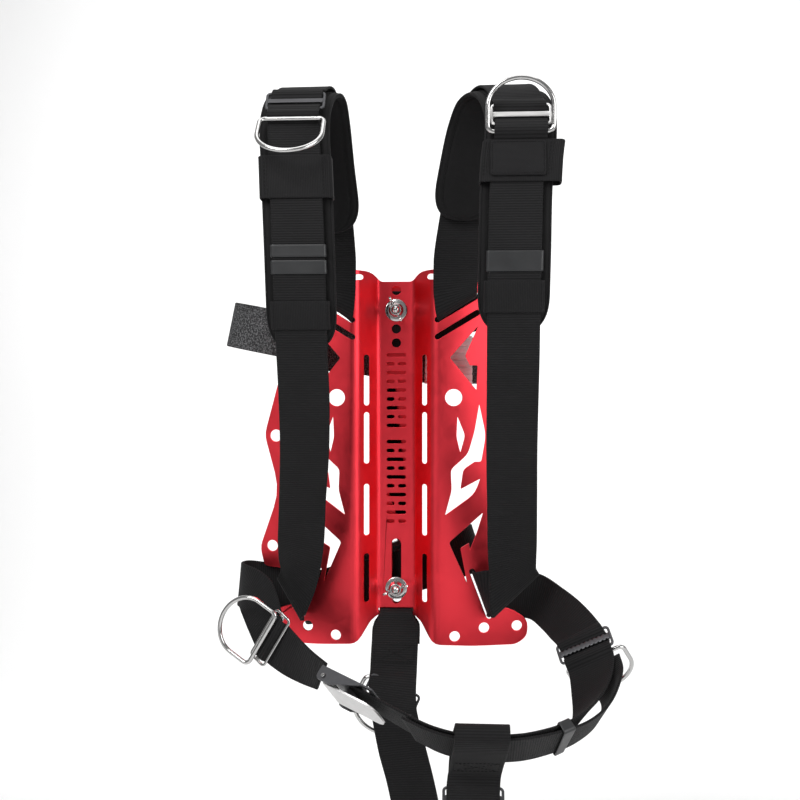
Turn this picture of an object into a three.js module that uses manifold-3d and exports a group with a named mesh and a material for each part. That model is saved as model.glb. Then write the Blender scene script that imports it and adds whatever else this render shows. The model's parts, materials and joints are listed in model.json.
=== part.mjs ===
// Technical diving harness: a folded metal backplate with an adapter rail and two tank bands behind it,
// and webbing shoulder straps, waist belt and crotch strap threaded through its slots.
// Millimetres, +Z up. The wearer stands on the -Y side with the back against the plate's two ridges and
// faces -Y, so the wearer's left is +X. The origin is on the rear face of the plate's channel, half way up.
import * as THREE from "three";
import { mergeVertices } from "three/addons/utils/BufferGeometryUtils.js";
import Module from "manifold-3d";

const wasm = await Module();
wasm.setup();

// ---- driving dimensions -------------------------------------------------------------------------
const GAP = 0.3;
const PLATE_T = 3;
const CHANNEL_HALF = 20; // half width of the channel's flat floor
const RIDGE_X = 42;
const RIDGE_Y = -28.5; // mid-plane of the sheet at the ridge
const WING_SLOPE = 0.255; // the wings fall back towards the tank
const BOLT_TOP_Z = 156;
const BOLT_LOW_Z = -143;
const BOLT_R = 4;
const BOLT_SLOT = [-160, -90];
const WEB = 25; // half width of the webbing
const WEB_T = 2.4;
const RAIL = { half: 19, front: 6.3, wall: 3, rear: 28, low: -174, high: 184 };
const RING = { half: 30.8, depth: 50, wire: 2.3 };
const SLIDE = { half: 29, reach: 12, bar: 3.2, middle: 5.6, thick: 2 };
const PAD = { half: 33, thick: 8, gap: 2.2 }; // the gap is where the keepers of the webbing pass
const BAND = { front: 16, rear: 62 };

// ---- materials ----------------------------------------------------------------------------------
const metal = (color, roughness) => new THREE.MeshStandardMaterial({ color, roughness, metalness: 1 });
const soft = (color) => new THREE.MeshStandardMaterial({ color, roughness: 0.9, metalness: 0 });
const RED = metal(0xc8283a, 0.4);
const STEEL = metal(0xc9cbcd, 0.25);
const DARK_STEEL = metal(0x55575a, 0.45);
const WEBBING = soft(0x141416);
const PADDING = soft(0x0d0d0e);
const ELASTIC = soft(0x24262a);
const BAND_GREY = soft(0x3a3b3d);
const RUBBER_GREY = soft(0xb9bcc0);
const RUBBER_BLACK = soft(0x1a1a1c);

// ---- building blocks ----------------------------------------------------------------------------
const model = new THREE.Group();

function add(name, geometry, material) {
  const mesh = new THREE.Mesh(geometry, material);
  mesh.name = name;
  model.add(mesh);
  return mesh;
}

function solidOf(geometry) {
  const bare = geometry.clone();
  bare.deleteAttribute("normal");
  bare.deleteAttribute("uv");
  const merged = mergeVertices(bare, 1e-4);
  return new wasm.Manifold(new wasm.Mesh({
    numProp: 3,
    vertProperties: new Float32Array(merged.attributes.position.array),
    triVerts: new Uint32Array(merged.index.array),
  }));
}

function geometryOf(solid) {
  const mesh = solid.getMesh();
  return closedGeometry(mesh.vertProperties, mesh.triVerts);
}

function closedGeometry(positions, indices) {
  const geometry = new THREE.BufferGeometry();
  geometry.setAttribute("position", new THREE.BufferAttribute(new Float32Array(positions), 3));
  geometry.setIndex(Array.from(indices));
  geometry.computeVertexNormals();
  return geometry;
}

// A front-view outline (x, z) pushed through from y0 to y1.
function through(shape, y0, y1, curveSegments = 3) {
  const geometry = new THREE.ExtrudeGeometry(shape, { depth: y1 - y0, bevelEnabled: false, curveSegments });
  geometry.rotateX(Math.PI / 2);
  geometry.translate(0, y1, 0);
  return geometry;
}

// A closed outline whose corners [x, z, radius] are rounded off.
function roundedShape(corners) {
  const shape = new THREE.Shape();
  corners.forEach(([x, z, r = 0], i) => {
    const here = new THREE.Vector2(x, z);
    const before = new THREE.Vector2(...corners[(i + corners.length - 1) % corners.length]);
    const after = new THREE.Vector2(...corners[(i + 1) % corners.length]);
    const inTo = here.clone().add(before.sub(here).setLength(r));
    const outOf = here.clone().add(after.sub(here).setLength(r));
    if (i === 0) shape.moveTo(inTo.x, inTo.y);
    else shape.lineTo(inTo.x, inTo.y);
    if (r > 0) shape.quadraticCurveTo(x, z, outOf.x, outOf.y);
  });
  shape.closePath();
  return shape;
}

// A slot with round ends between two points.
function slotShape(x0, z0, x1, z1, r) {
  const lean = Math.atan2(z1 - z0, x1 - x0);
  const shape = new THREE.Shape();
  shape.absarc(x1, z1, r, lean - Math.PI / 2, lean + Math.PI / 2, false);
  shape.absarc(x0, z0, r, lean + Math.PI / 2, lean + 1.5 * Math.PI, false);
  shape.closePath();
  return shape;
}

function holeShape(x, z, r) {
  return new THREE.Shape().absarc(x, z, r, 0, 2 * Math.PI, false);
}

function box(x0, x1, y0, y1, z0, z1) {
  const geometry = new THREE.BoxGeometry(x1 - x0, y1 - y0, z1 - z0);
  geometry.translate((x0 + x1) / 2, (y0 + y1) / 2, (z0 + z1) / 2);
  return geometry;
}

// A turned piece about the Y axis through (0, z); the profile is a list of [radius, y].
function turned(profile, z, segments = 20) {
  const points = profile.map(([r, y]) => new THREE.Vector2(r, y));
  const geometry = new THREE.LatheGeometry(points, segments);
  geometry.translate(0, 0, z);
  return geometry;
}

// A ring about the Y axis with a hole, from y0 up to y1.
function washer(inner, outer, y0, y1, z) {
  return turned([[inner, y0], [outer, y0], [outer, y1], [inner, y1], [inner, y0]], z);
}

// ---- routes: a strap is a list of rows [x, y, z, hx, hy, hz], centre and half width ----------------
class Route {
  // face is 1 or -1, so that the normal points away from the wearer's body
  constructor(rows, face, closed = false) {
    const centre = rows.map((r) => new THREE.Vector3(r[0], r[1], r[2]));
    const half = rows.map((r) => new THREE.Vector3(r[3], r[4], r[5]));
    this.centre = new THREE.CatmullRomCurve3(centre, closed, "centripetal");
    this.half = new THREE.CatmullRomCurve3(half, closed, "catmullrom", 0.5);
    this.face = face;
    this.last = closed ? rows.length : rows.length - 1;
  }

  // the frame at row number u, which may lie between two rows
  at(u) {
    const t = u / this.last;
    const centre = this.centre.getPoint(t);
    const half = this.half.getPoint(t);
    const along = this.centre.getTangent(t);
    const out = along.clone().cross(half).normalize().multiplyScalar(this.face);
    return { centre, half, along, out, side: half.clone().normalize() };
  }
}

// The closed skin over a row of sections that all have the same corners; the last joins the first if closed.
function skin(sections, closed) {
  const n = sections[0].length;
  const positions = sections.flat().flatMap((p) => [p.x, p.y, p.z]);
  const faces = [];
  const spans = closed ? sections.length : sections.length - 1;
  for (let i = 0; i < spans; i += 1) {
    const a = i * n;
    const b = ((i + 1) % sections.length) * n;
    for (let k = 0; k < n; k += 1) {
      const m = (k + 1) % n;
      faces.push(a + k, a + m, b + m, a + k, b + m, b + k);
    }
  }
  if (!closed) {
    const end = (sections.length - 1) * n;
    for (let k = 1; k < n - 1; k += 1) {
      faces.push(0, k + 1, k);
      faces.push(end, end + k, end + k + 1);
    }
  }
  return facingOut(positions, faces);
}

// Turns a closed mesh right side out, by the sign of its volume.
function facingOut(positions, faces) {
  const at = (i) => new THREE.Vector3(positions[3 * i], positions[3 * i + 1], positions[3 * i + 2]);
  let volume = 0;
  for (let f = 0; f < faces.length; f += 3) {
    volume += at(faces[f]).dot(at(faces[f + 1]).cross(at(faces[f + 2])));
  }
  if (volume < 0) {
    for (let f = 0; f < faces.length; f += 3) [faces[f + 1], faces[f + 2]] = [faces[f + 2], faces[f + 1]];
  }
  return closedGeometry(positions, faces);
}

// Webbing laid along a route from row u0 to row u1. lift moves it outwards, half overrides its half
// width, and taper rounds both ends over that many steps.
function webbing(route, { u0 = 0, u1 = route.last, lift = 0, half = 0, thick = WEB_T, step = 0.5, taper = 0 }) {
  const closed = u0 === 0 && u1 === route.last && route.centre.closed;
  const count = Math.max(2, Math.round((u1 - u0) / step));
  const sections = [];
  for (let i = 0; i <= count; i += 1) {
    if (closed && i === count) break;
    const f = route.at(u0 + ((u1 - u0) * i) / count);
    const width = half > 0 ? f.side.clone().multiplyScalar(half) : f.half.clone();
    const fromEnd = Math.min(i, count - i);
    if (fromEnd < taper) width.multiplyScalar(Math.sqrt(1 - ((taper - fromEnd) / (taper + 1)) ** 2));
    const low = f.centre.clone().addScaledVector(f.out, lift - thick / 2);
    const high = f.centre.clone().addScaledVector(f.out, lift + thick / 2);
    sections.push([
      low.clone().sub(width), low.clone().add(width), high.clone().add(width), high.clone().sub(width),
    ]);
  }
  return skin(sections, closed);
}

// A flat sleeve round what lies on a route: inner opening half x (low .. high), wall thick.
function sleeve(route, { u0, u1, half, low, high, wall, steps = 3, shift = 0 }) {
  const sections = [];
  for (let i = 0; i <= steps; i += 1) {
    const f = route.at(u0 + ((u1 - u0) * i) / steps);
    const corner = (s, n) => f.centre.clone().addScaledVector(f.side, s + shift).addScaledVector(f.out, n);
    sections.push([
      corner(-half - wall, low - wall), corner(half + wall, low - wall),
      corner(half + wall, high + wall), corner(-half - wall, high + wall),
      corner(-half, low), corner(half, low), corner(half, high), corner(-half, high),
    ]);
  }
  const positions = sections.flat().flatMap((p) => [p.x, p.y, p.z]);
  const faces = [];
  for (let i = 0; i < steps; i += 1) {
    const a = i * 8;
    const b = a + 8;
    for (let k = 0; k < 4; k += 1) {
      const m = (k + 1) % 4;
      faces.push(a + k, a + m, b + m, a + k, b + m, b + k);
      faces.push(a + 4 + k, b + 4 + m, a + 4 + m, a + 4 + k, b + 4 + k, b + 4 + m);
    }
  }
  const end = steps * 8;
  for (let k = 0; k < 4; k += 1) {
    const m = (k + 1) % 4;
    faces.push(k, 4 + m, m, k, 4 + k, 4 + m);
    faces.push(end + k, end + m, end + 4 + m, end + k, end + 4 + m, end + 4 + k);
  }
  return facingOut(positions, faces);
}

// Puts a piece made in local axes (x across the strap, y along it, z outwards) on a route.
function onRoute(geometry, route, u, lift = 0) {
  const f = route.at(u);
  const across = f.side.clone();
  const out = f.out.clone();
  const along = out.clone().cross(across);
  const basis = new THREE.Matrix4().makeBasis(across, along, out);
  basis.setPosition(f.centre.clone().addScaledVector(out, lift));
  return geometry.applyMatrix4(basis);
}

// Moves a piece from local axes to a place given by its x direction, its y direction and a point.
function placed(geometry, point, xDir, yDir) {
  const x = new THREE.Vector3(...xDir).normalize();
  const z = x.clone().cross(new THREE.Vector3(...yDir)).normalize();
  const y = z.clone().cross(x);
  const basis = new THREE.Matrix4().makeBasis(x, y, z);
  basis.setPosition(new THREE.Vector3(...point));
  return geometry.applyMatrix4(basis);
}

// ---- backplate ----------------------------------------------------------------------------------
const wingY = (x) => RIDGE_Y + (Math.abs(x) - RIDGE_X) * WING_SLOPE;

// The folded sheet seen from above: rounded mid-line, offset to both sides.
function plateProfile() {
  const edge = 152;
  const folds = [
    [-edge, wingY(edge), 0], [-RIDGE_X, RIDGE_Y, 6], [-CHANNEL_HALF, -PLATE_T / 2, 5],
    [CHANNEL_HALF, -PLATE_T / 2, 5], [RIDGE_X, RIDGE_Y, 6], [edge, wingY(edge), 0],
  ];
  const line = [];
  folds.forEach(([x, y, r], i) => {
    const here = new THREE.Vector2(x, y);
    if (r === 0) {
      line.push(here);
      return;
    }
    const a = here.clone().add(new THREE.Vector2(folds[i - 1][0], folds[i - 1][1]).sub(here).setLength(r));
    const b = here.clone().add(new THREE.Vector2(folds[i + 1][0], folds[i + 1][1]).sub(here).setLength(r));
    line.push(...new THREE.QuadraticBezierCurve(a, here, b).getPoints(5));
  });
  const offset = (sign) => line.map((p, i) => {
    const before = line[Math.max(0, i - 1)];
    const after = line[Math.min(line.length - 1, i + 1)];
    const inDir = p.clone().sub(before);
    const outDir = after.clone().sub(p);
    if (inDir.lengthSq() === 0) inDir.copy(outDir);
    if (outDir.lengthSq() === 0) outDir.copy(inDir);
    const n1 = new THREE.Vector2(-inDir.y, inDir.x).normalize();
    const n2 = new THREE.Vector2(-outDir.y, outDir.x).normalize();
    const mitre = n1.clone().add(n2).normalize();
    return p.clone().addScaledVector(mitre, (sign * PLATE_T) / 2 / mitre.dot(n1));
  });
  return new THREE.Shape([...offset(1), ...offset(-1).reverse()]);
}

// Right half of the plate's front outline, [x, z, corner radius], from the top centre down.
const OUTLINE = [
  [17, 187, 3], [26, 197, 7], [86, 197, 4], [96, 187, 4], [113, 166, 8], [115, 124, 10], [128, 76, 20],
  [143, 22, 8], [126, -38, 20], [148, -100, 7], [143, -120, 4], [117, -122, 8], [108, -160, 6],
  [124, -162, 12], [141, -176, 7], [140, -193, 6], [128, -201, 5], [82, -201, 10], [40, -198, 8], [27, -177, 3], [20, -172, 2],
];

// Cut-outs in the right wing, points [x, z, corner radius].
const WING_WINDOWS = [
  [[88, 138, 1], [58, 104, 2], [86, 70, 1], [87, 96, 1], [79, 96, 1], [74, 106, 2]],
  [[66, 42, 1], [74, 22, 4], [69, 4, 1], [65, 20, 4]],
  [[89, 55, 1], [96, 22, 8], [91, -6, 2], [84, -6, 1], [72, -14, 4], [69, -35, 2], [90, -24, 1], [84, -40, 8],
    [53, -62, 1], [60, -36, 4], [59, -14, 4], [77, 2, 6], [84, 26, 6]],
  [[93, -60, 1], [57, -91, 3], [76, -134, 1], [69, -97, 2], [78, -92, 1], [79, -99, 1], [86, -82, 2]],
];
const SHOULDER_SLOTS = [[37, 190, 84, 183], [45, 144, 87, 170], [45, 126, 87, 152]];
const BELT_SLOT = [81.5, -122, 99.5, -170];
const WALL_SLOTS = [[53.5, 108], [-8.5, 46.5], [-85, -30], [-156, -104]];
const ROUND_HOLES = [
  [62, 62, 9], [130, 21, 6.5], [134, -98, 6], [63, -190, 5.5], [94, -182, 5.5], [129, -181, 5.5],
];
const FLOOR_HOLES = [177.5, 156, 136, 121];

function floorVents() {
  const shapes = [];
  const vent = (z, wide) => {
    if (wide) shapes.push(slotShape(-8.5, z, 8.5, z, 2));
    else shapes.push(slotShape(-8.5, z, -4, z, 2), slotShape(4, z, 8.5, z, 2));
  };
  for (let i = 0; i < 9; i += 1) vent(108 - 9.5 * i, i % 2 === 0);
  for (let i = 0; i < 10; i += 1) vent(14.5 - 9.5 * i, i % 2 === 0);
  return shapes;
}

function backplate() {
  const mirrored = OUTLINE.slice().reverse().map(([x, z, r]) => [-x, z, r]);
  const outline = solidOf(through(roundedShape([...OUTLINE, ...mirrored]), -60, 20));
  const profile = new THREE.ExtrudeGeometry(plateProfile(), { depth: 420, bevelEnabled: false });
  profile.translate(0, 0, -210);
  const holes = FLOOR_HOLES.map((z) => holeShape(0, z, 5));
  const shapes = [
    ...floorVents(),
    slotShape(0, BOLT_SLOT[0] + 5.2, 0, BOLT_SLOT[1] - 5.2, 5.2),
    slotShape(-17, -166.2, 17, -166.2, 2.3),
  ];
  for (const s of [-1, 1]) {
    const flip = ([x, z, r]) => [s * x, z, r];
    for (const points of WING_WINDOWS) {
      shapes.push(roundedShape(s > 0 ? points.map(flip) : points.map(flip).reverse()));
    }
    for (const [x0, z0, x1, z1] of SHOULDER_SLOTS) shapes.push(slotShape(s * x0, z0, s * x1, z1, 3));
    shapes.push(slotShape(s * BELT_SLOT[0], BELT_SLOT[1], s * BELT_SLOT[2], BELT_SLOT[3], 3));
    for (const [low, high] of WALL_SLOTS) shapes.push(slotShape(s * 31, low + 2.6, s * 31, high - 2.6, 2.6));
    for (const [x, z, r] of ROUND_HOLES) holes.push(holeShape(s * x, z, r));
  }
  let plate = solidOf(profile).intersect(outline);
  for (const shape of shapes) plate = plate.subtract(solidOf(through(shape, -60, 20)));
  for (const hole of holes) plate = plate.subtract(solidOf(through(hole, -60, 20, 12)));
  add("backplate", geometryOf(plate), RED);
}

// The single-tank adapter: a U-shaped rail whose two flanges carry slots for the tank bands.
const BAND_SLOTS = [[76, 138], [-165, -97]];

function adapterRail() {
  const { half, front, wall, rear, low, high } = RAIL;
  let rail = solidOf(box(-half, half, front, rear, low, high));
  rail = rail.subtract(solidOf(box(-half + wall, half - wall, front + wall, rear + 1, low - 1, high + 1)));
  for (const [z0, z1] of BAND_SLOTS) {
    rail = rail.subtract(solidOf(box(-half - 1, half + 1, BAND.front - 3.5, BAND.front + 3.5, z0, z1)));
  }
  rail = rail.subtract(solidOf(through(holeShape(0, BOLT_TOP_Z, 5), 0, 12, 10)));
  rail = rail.subtract(solidOf(through(slotShape(0, BOLT_SLOT[0] + 5.2, 0, BOLT_SLOT[1] - 5.2, 5.2), 0, 12)));
  add("adapter_rail", geometryOf(rail), RED);
}

// ---- bolts and wing nuts ------------------------------------------------------------------------
function wingNut(name, z, lean) {
  const low = -PLATE_T - 2 - 2 * GAP;
  const body = solidOf(turned([
    [BOLT_R + GAP, low - 9], [6, low - 9], [8, low - 3], [8, low], [BOLT_R + GAP, low], [BOLT_R + GAP, low - 9],
  ], 0));
  const wing = new THREE.Shape();
  wing.moveTo(5, low - 1);
  wing.lineTo(9, low - 2);
  wing.lineTo(14, low - 8);
  wing.absarc(12, low - 10.5, 3, 0.9, -2.4, true);
  wing.lineTo(5, low - 6);
  wing.closePath();
  const blade = new THREE.ExtrudeGeometry(wing, { depth: 2.6, bevelEnabled: false, curveSegments: 5 });
  blade.translate(0, 0, -1.3);
  const blades = solidOf(blade).add(solidOf(blade.clone().rotateY(Math.PI)));
  const bore = solidOf(turned([[0, -40], [BOLT_R + GAP, -40], [BOLT_R + GAP, 0], [0, 0]], 0));
  const nut = geometryOf(body.add(blades).subtract(bore));
  nut.rotateY(lean);
  nut.translate(0, 0, z);
  add(name, nut, STEEL);
}

function boltSet(name, z, lean) {
  const head = RAIL.front + RAIL.wall + GAP;
  add(`${name}_bolt`, turned([
    [0, -17], [BOLT_R - 0.6, -17], [BOLT_R, -16], [BOLT_R, head], [7, head], [7, head + 3.4], [5.5, head + 4.4],
    [0, head + 4.4],
  ], z), STEEL);
  add(`${name}_washer`, washer(BOLT_R + GAP, 12, -PLATE_T - 2 - GAP, -PLATE_T - GAP, z), STEEL);
  wingNut(`${name}_wing_nut`, z, lean);
}

function lowerSpacer() {
  add("lower_spacer", washer(BOLT_R + GAP, 10, GAP, RAIL.front - GAP, BOLT_LOW_Z), RUBBER_BLACK);
}

// ---- webbing routes -----------------------------------------------------------------------------
const W = WEB;
const LEFT_SHOULDER = new Route([
  [-24, 1.5, 152, 0, 0, -W], [12, 1.5, 152, 0, 0, -W], [22, 1.5, 152, 0, 0, -W], [41, -4, 153, -7, -4, -22],
  [57, -13, 156, -17, -6, -17],
  [65.5, -18, 157, -20.5, -5.2, -13], [65.5, -24, 157.5, -20.5, -5.2, -13], [65, -28.5, 163, -22, -5.6, -11],
  [64, -30, 176, -23, -5.8, -4], [65, -33, 196, -24, -5, 0], [67, -38, 214, -W, -2, 0], [73, -46, 251, -W, 0, 0],
  [82, -58, 300, -W, 0, 0], [92, -72, 342, -W, 0, 0], [101, -88, 362, -W, 0, 0], [111, -105, 367, -W, 0, 0],
  [119, -122, 359, -W, 0, 0], [126, -138, 338, -W, 0, 0], [127, -147, 313, -W, 0, 0], [124, -152, 285, -W, 0, 0],
  [122, -156, 250, -W, 0, 0], [121, -156, 199, -W, 0, 0], [120, -150, 144, -W, 0, 0], [120, -138, 100, -W, 0, 0],
  [120, -122, 59, -W, 0, 0], [120, -104, 10, -W, 0, 0], [121, -84, -41, -W, 0, 0], [122, -64, -88, -W, 0, -3],
  [123, -51, -118, -24, 0, -11], [123.5, -45.5, -135, -24, 0, -20], [126.5, -40.5, -144, -23.5, 0, -23],
  [119, -36.5, -143, -20, 0, -22.5], [108, -34, -141, -11, 0, -23.5], [98, -30, -143, -1, 1, -24.5],
  [92, -23.5, -146, 8, 1.5, -24], [90.5, -17, -146, 8.5, 2, -23.5], [90.5, -12.5, -146, 8.5, 2, -23.5],
], -1);
const RIGHT_SHOULDER = new Route([
  [90, 4.5, 160, 5, 0, -24.5], [-12, 4.5, 138, 2, 0, -24.9], [-22, 4.4, 138, 0, 0, -W], [-41, -3, 145, 7, -4, -22],
  [-57, -12, 153, 17, -6, -17],
  [-65.5, -18, 157, 20.5, -5.2, -13], [-65.5, -24, 157.5, 20.5, -5.2, -13], [-65, -28.5, 163, 22, -5.6, -11],
  [-64, -30, 176, 23, -5.8, -4], [-64, -33, 196, 24, -5, 0], [-65, -38, 212, W, -2, 0], [-68, -46, 252, W, 0, 0],
  [-73, -58, 302, W, 0, 0], [-76, -72, 343, W, 0, 0], [-78, -88, 363, W, 0, 0], [-81, -105, 368, W, 0, 0],
  [-86, -122, 360, W, 0, 0], [-89, -138, 340, W, 0, 0], [-89, -147, 315, W, 0, 0], [-87, -152, 288, W, 0, 0],
  [-85, -156, 252, W, 0, 0], [-83, -156, 201, W, 0, 0], [-82, -150, 145, W, 0, 0], [-82, -138, 101, W, 0, 0],
  [-82, -125, 59, W, 0, 0], [-84, -108, 10, 24, 4, 0], [-89, -88, -41, 23, 6, 0], [-94, -67, -87, 23, 5, -5],
  [-99, -53, -118, 20, 2, -13], [-104.5, -45.5, -140, 14, 0, -20.5], [-110.5, -40, -150, 12, 0, -21.5],
  [-105, -35.5, -150, 9, 0, -23], [-99, -32, -149, 3, 1, -24.5], [-94, -27, -147.5, -4, 1, -24.5],
  [-91, -21, -146, -8, 1.5, -24], [-90.5, -16, -146, -8.5, 2, -23.5], [-90.5, -12.5, -146, -8.5, 2, -23.5],
], 1);
const LEFT_WAIST = new Route([
  [95, -9, -147, 8.5, 2, -24], [110, -4.5, -148.5, 5, 1, -24.5], [127, 1.5, -149, 0, 1, -W],
  [148, 0, -151, -5, 0, -24.5], [166, -16, -161, -11, 2, -22], [180, -38, -171, -17, 3, -18],
  [192, -62, -183, -22, 3, -11], [199, -82, -200, -22, 4, -11], [198, -102, -218, -19, 8, -13],
  [192, -122, -234, -13, 13, -16], [180, -140, -246, -7, 17, -17], [160, -156, -253, -3, 19, -16],
  [132, -168, -258, -1, 19, -16], [113, -172, -259, 0, 19, -16], [84, -171, -260, 2, 19, -16],
  [49, -163, -255, 4, 19, -16], [16, -151, -243, 6, 18, -16], [-10, -141, -232, 7, 18, -16],
  [-30, -132, -224, 7, 18, -16],
], 1);
const BELT_END = new Route([
  [207, -78, -205, -20, 7, -13], [215, -95, -217, -12, 15, -16], [214, -112, -230, -5, 19, -15],
  [204, -125, -243, -5, 18, -16], [185, -143, -252.5, -5, 18, -16], [162, -159.5, -257, -3, 19, -16],
  [132, -171.5, -261, -1, 19, -16], [113, -175, -262, 0, 19, -16], [84, -174, -263, 2, 19, -16],
  [48, -166, -258, 4, 19, -16], [22, -157, -249, 6, 18, -16],
], 1);
const RIGHT_WAIST = new Route([
  [-95, -9, -147, -8.5, 2, -24], [-110, -4.5, -147, -5, 1, -24.5], [-127, 1.5, -145, 0, 1, -W],
  [-146, 1, -141, 0, 0, -24.5], [-161, -7, -138, -1, 0, -24], [-166, -20, -137, -2, 1, -23],
  [-161, -34, -137, -5, 1, -22], [-152, -46, -138, -10, 1, -20], [-142, -57, -145, -15, 0, -18],
  [-132, -68, -162, -15, 1, -18], [-121, -79, -182, -12, 3, -20], [-103, -90, -196, -10, 7, -20],
  [-84, -101, -206, -8, 13, -19], [-66, -111, -213, -7, 17, -17],
], -1);
const CROTCH = new Route([
  [0, 2, -204, W, 0, 0], [0, 2, -182, W, 0, 0], [0, 2.2, -174, 20, 0, 0], [0, 1.9, -168.5, 18, 0, 0],
  [0, -1.5, -165.9, 18, 0, 0], [0, -4.9, -168.5, 17.5, 0, 0], [0, -6.2, -176, 20, 0, 0], [0, -7.5, -183, W, 0, 0],
  [-1, -11, -200, W, 0, 0], [-2, -16, -226, W, 0, -1],
  [-2, -22, -263, W, 0, -3], [7, -30, -305, W, 0, 3], [17, -37, -340, W, 0, 1], [24, -44, -370, W, 0, 0],
  [32, -60, -420, W, 0, 0], [42, -85, -460, W, 0, 0], [55, -115, -475, W, 0, 0], [67, -143, -460, W, 0, 0],
  [76, -158, -420, W, 0, 0], [80, -160, -370, W, 0, 0], [81.5, -154, -335, W, 0, 0], [82, -150, -321, W, 0, 0],
], 1);
const CROTCH_LOOP = new Route([
  [82, -152.5, -317, W, 0, 0], [82, -153, -299, W, 0, 0], [84, -161, -286, W, 0, 0], [86, -179, -271, W, 0, 0],
  [89, -198, -253, W, 0, 0], [90, -203, -242, W, 0, 0], [90, -198, -234, W, 0, 0], [90, -186, -236, W, 0, 0],
  [88, -164, -249, W, 0, 0], [86, -145, -265, W, 0, 0], [84, -138, -283, W, 0, 0], [83, -140, -300, W, 0, 0],
  [82, -147.5, -317, W, 0, 0],
], -1);
const UPPER_BAND = new Route([
  [-150, BAND.front, 136.5, 5, 0, 24.5], [-80, BAND.front, 121.8, 5, 0, 24.5], [-20, BAND.front, 109, 4, 0, 24.7],
  [20, BAND.front, 104.5, 1, 0, W], [72, BAND.front, 103, 0, 0, W], [91, 24, 102.5, 0, 0, W],
  [98, 39, 102.5, 0, 0, W], [91, 54, 102.5, 0, 0, W], [72, BAND.rear, 103, 0, 0, W],
  [20, BAND.rear, 104.5, 1, 0, W], [-30, BAND.rear, 111.5, 5, 0, 24.5], [-110, BAND.rear, 128.3, 5, 0, 24.5],
  [-150, BAND.rear, 136.5, 5, 0, 24.5], [-177, 54, 142, 5, 0, 24.5], [-188, 39, 144.5, 5, 0, 24.5],
  [-177, 24, 142, 5, 0, 24.5],
], 1, true);
const LOWER_BAND = new Route([
  [-85, BAND.front, -158.8, -8, 0, 23.7], [-20, BAND.front, -137.5, -8, 0, 23.7],
  [20, BAND.front, -124.5, -8, 0, 23.7], [62, BAND.front, -110.7, -8, 0, 23.7], [81, 24, -104.5, -8, 0, 23.7],
  [88, 39, -102.2, -8, 0, 23.7], [81, 54, -104.5, -8, 0, 23.7], [62, BAND.rear, -110.7, -8, 0, 23.7],
  [20, BAND.rear, -124.5, -8, 0, 23.7], [-60, BAND.rear, -150.6, -8, 0, 23.7],
  [-85, BAND.rear, -158.8, -8, 0, 23.7], [-104, 54, -165, -8, 0, 23.7], [-111, 39, -167.3, -8, 0, 23.7],
  [-104, 24, -165, -8, 0, 23.7],
], 1, true);

// ---- straps -------------------------------------------------------------------------------------
function boltHoleIn(geometry) {
  const drill = through(holeShape(0, BOLT_TOP_Z, BOLT_R + 0.6), -5, 8, 8);
  return geometryOf(solidOf(geometry).subtract(solidOf(drill)));
}

function straps() {
  add("left_shoulder_strap", boltHoleIn(webbing(LEFT_SHOULDER, {})), WEBBING);
  add("right_shoulder_strap", boltHoleIn(webbing(RIGHT_SHOULDER, {})), WEBBING);
  add("left_waist_strap", webbing(LEFT_WAIST, {}), WEBBING);
  add("right_waist_strap", webbing(RIGHT_WAIST, {}), WEBBING);
  add("belt_free_end", webbing(BELT_END, {}), WEBBING);
  add("crotch_strap", webbing(CROTCH, {}), WEBBING);
  add("crotch_front_loop", webbing(CROTCH_LOOP, {}), WEBBING);
  add("upper_tank_band", webbing(UPPER_BAND, {}), BAND_GREY);
  add("lower_tank_band", webbing(LOWER_BAND, {}), WEBBING);
}

// ---- pads and keepers ---------------------------------------------------------------------------
const PAD_LIFT = -(WEB_T / 2 + PAD.gap + PAD.thick / 2);
const UNDER_PAD = -(WEB_T / 2 + PAD.gap + GAP + PAD.thick);
const OVER_WEB = WEB_T / 2 + 0.4;

function shoulderPad(side, route, u0, u1) {
  add(`${side}_shoulder_pad`, webbing(route, { u0, u1, lift: PAD_LIFT, half: PAD.half, thick: PAD.thick, taper: 1 }),
    PADDING);
}

// wider makes it stand out past the pad on the strap's first side by that much
function padKeeper(name, route, u0, u1, wider = 0) {
  const half = PAD.half + 0.6 + wider / 2;
  add(name, sleeve(route, { u0, u1, half, shift: -wider / 2, low: UNDER_PAD, high: OVER_WEB, wall: 1.6 }), WEBBING);
}

function webKeeper(name, route, u0, u1, { high = OVER_WEB, half = WEB + 1, wall = 1.4, material = ELASTIC } = {}) {
  add(name, sleeve(route, { u0, u1, half, low: -OVER_WEB, high, wall, steps: 2 }), material);
}

function labelPatch() {
  const patch = roundedShape([[-26, -17, 3], [26, -17, 3], [26, 17, 3], [-26, 17, 3]]);
  const geometry = new THREE.ExtrudeGeometry(patch, { depth: 1.4, bevelEnabled: false, curveSegments: 3 });
  add("label_patch", onRoute(geometry, LEFT_SHOULDER, 19, OVER_WEB + 1.6 + 0.8), ELASTIC);
}

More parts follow.
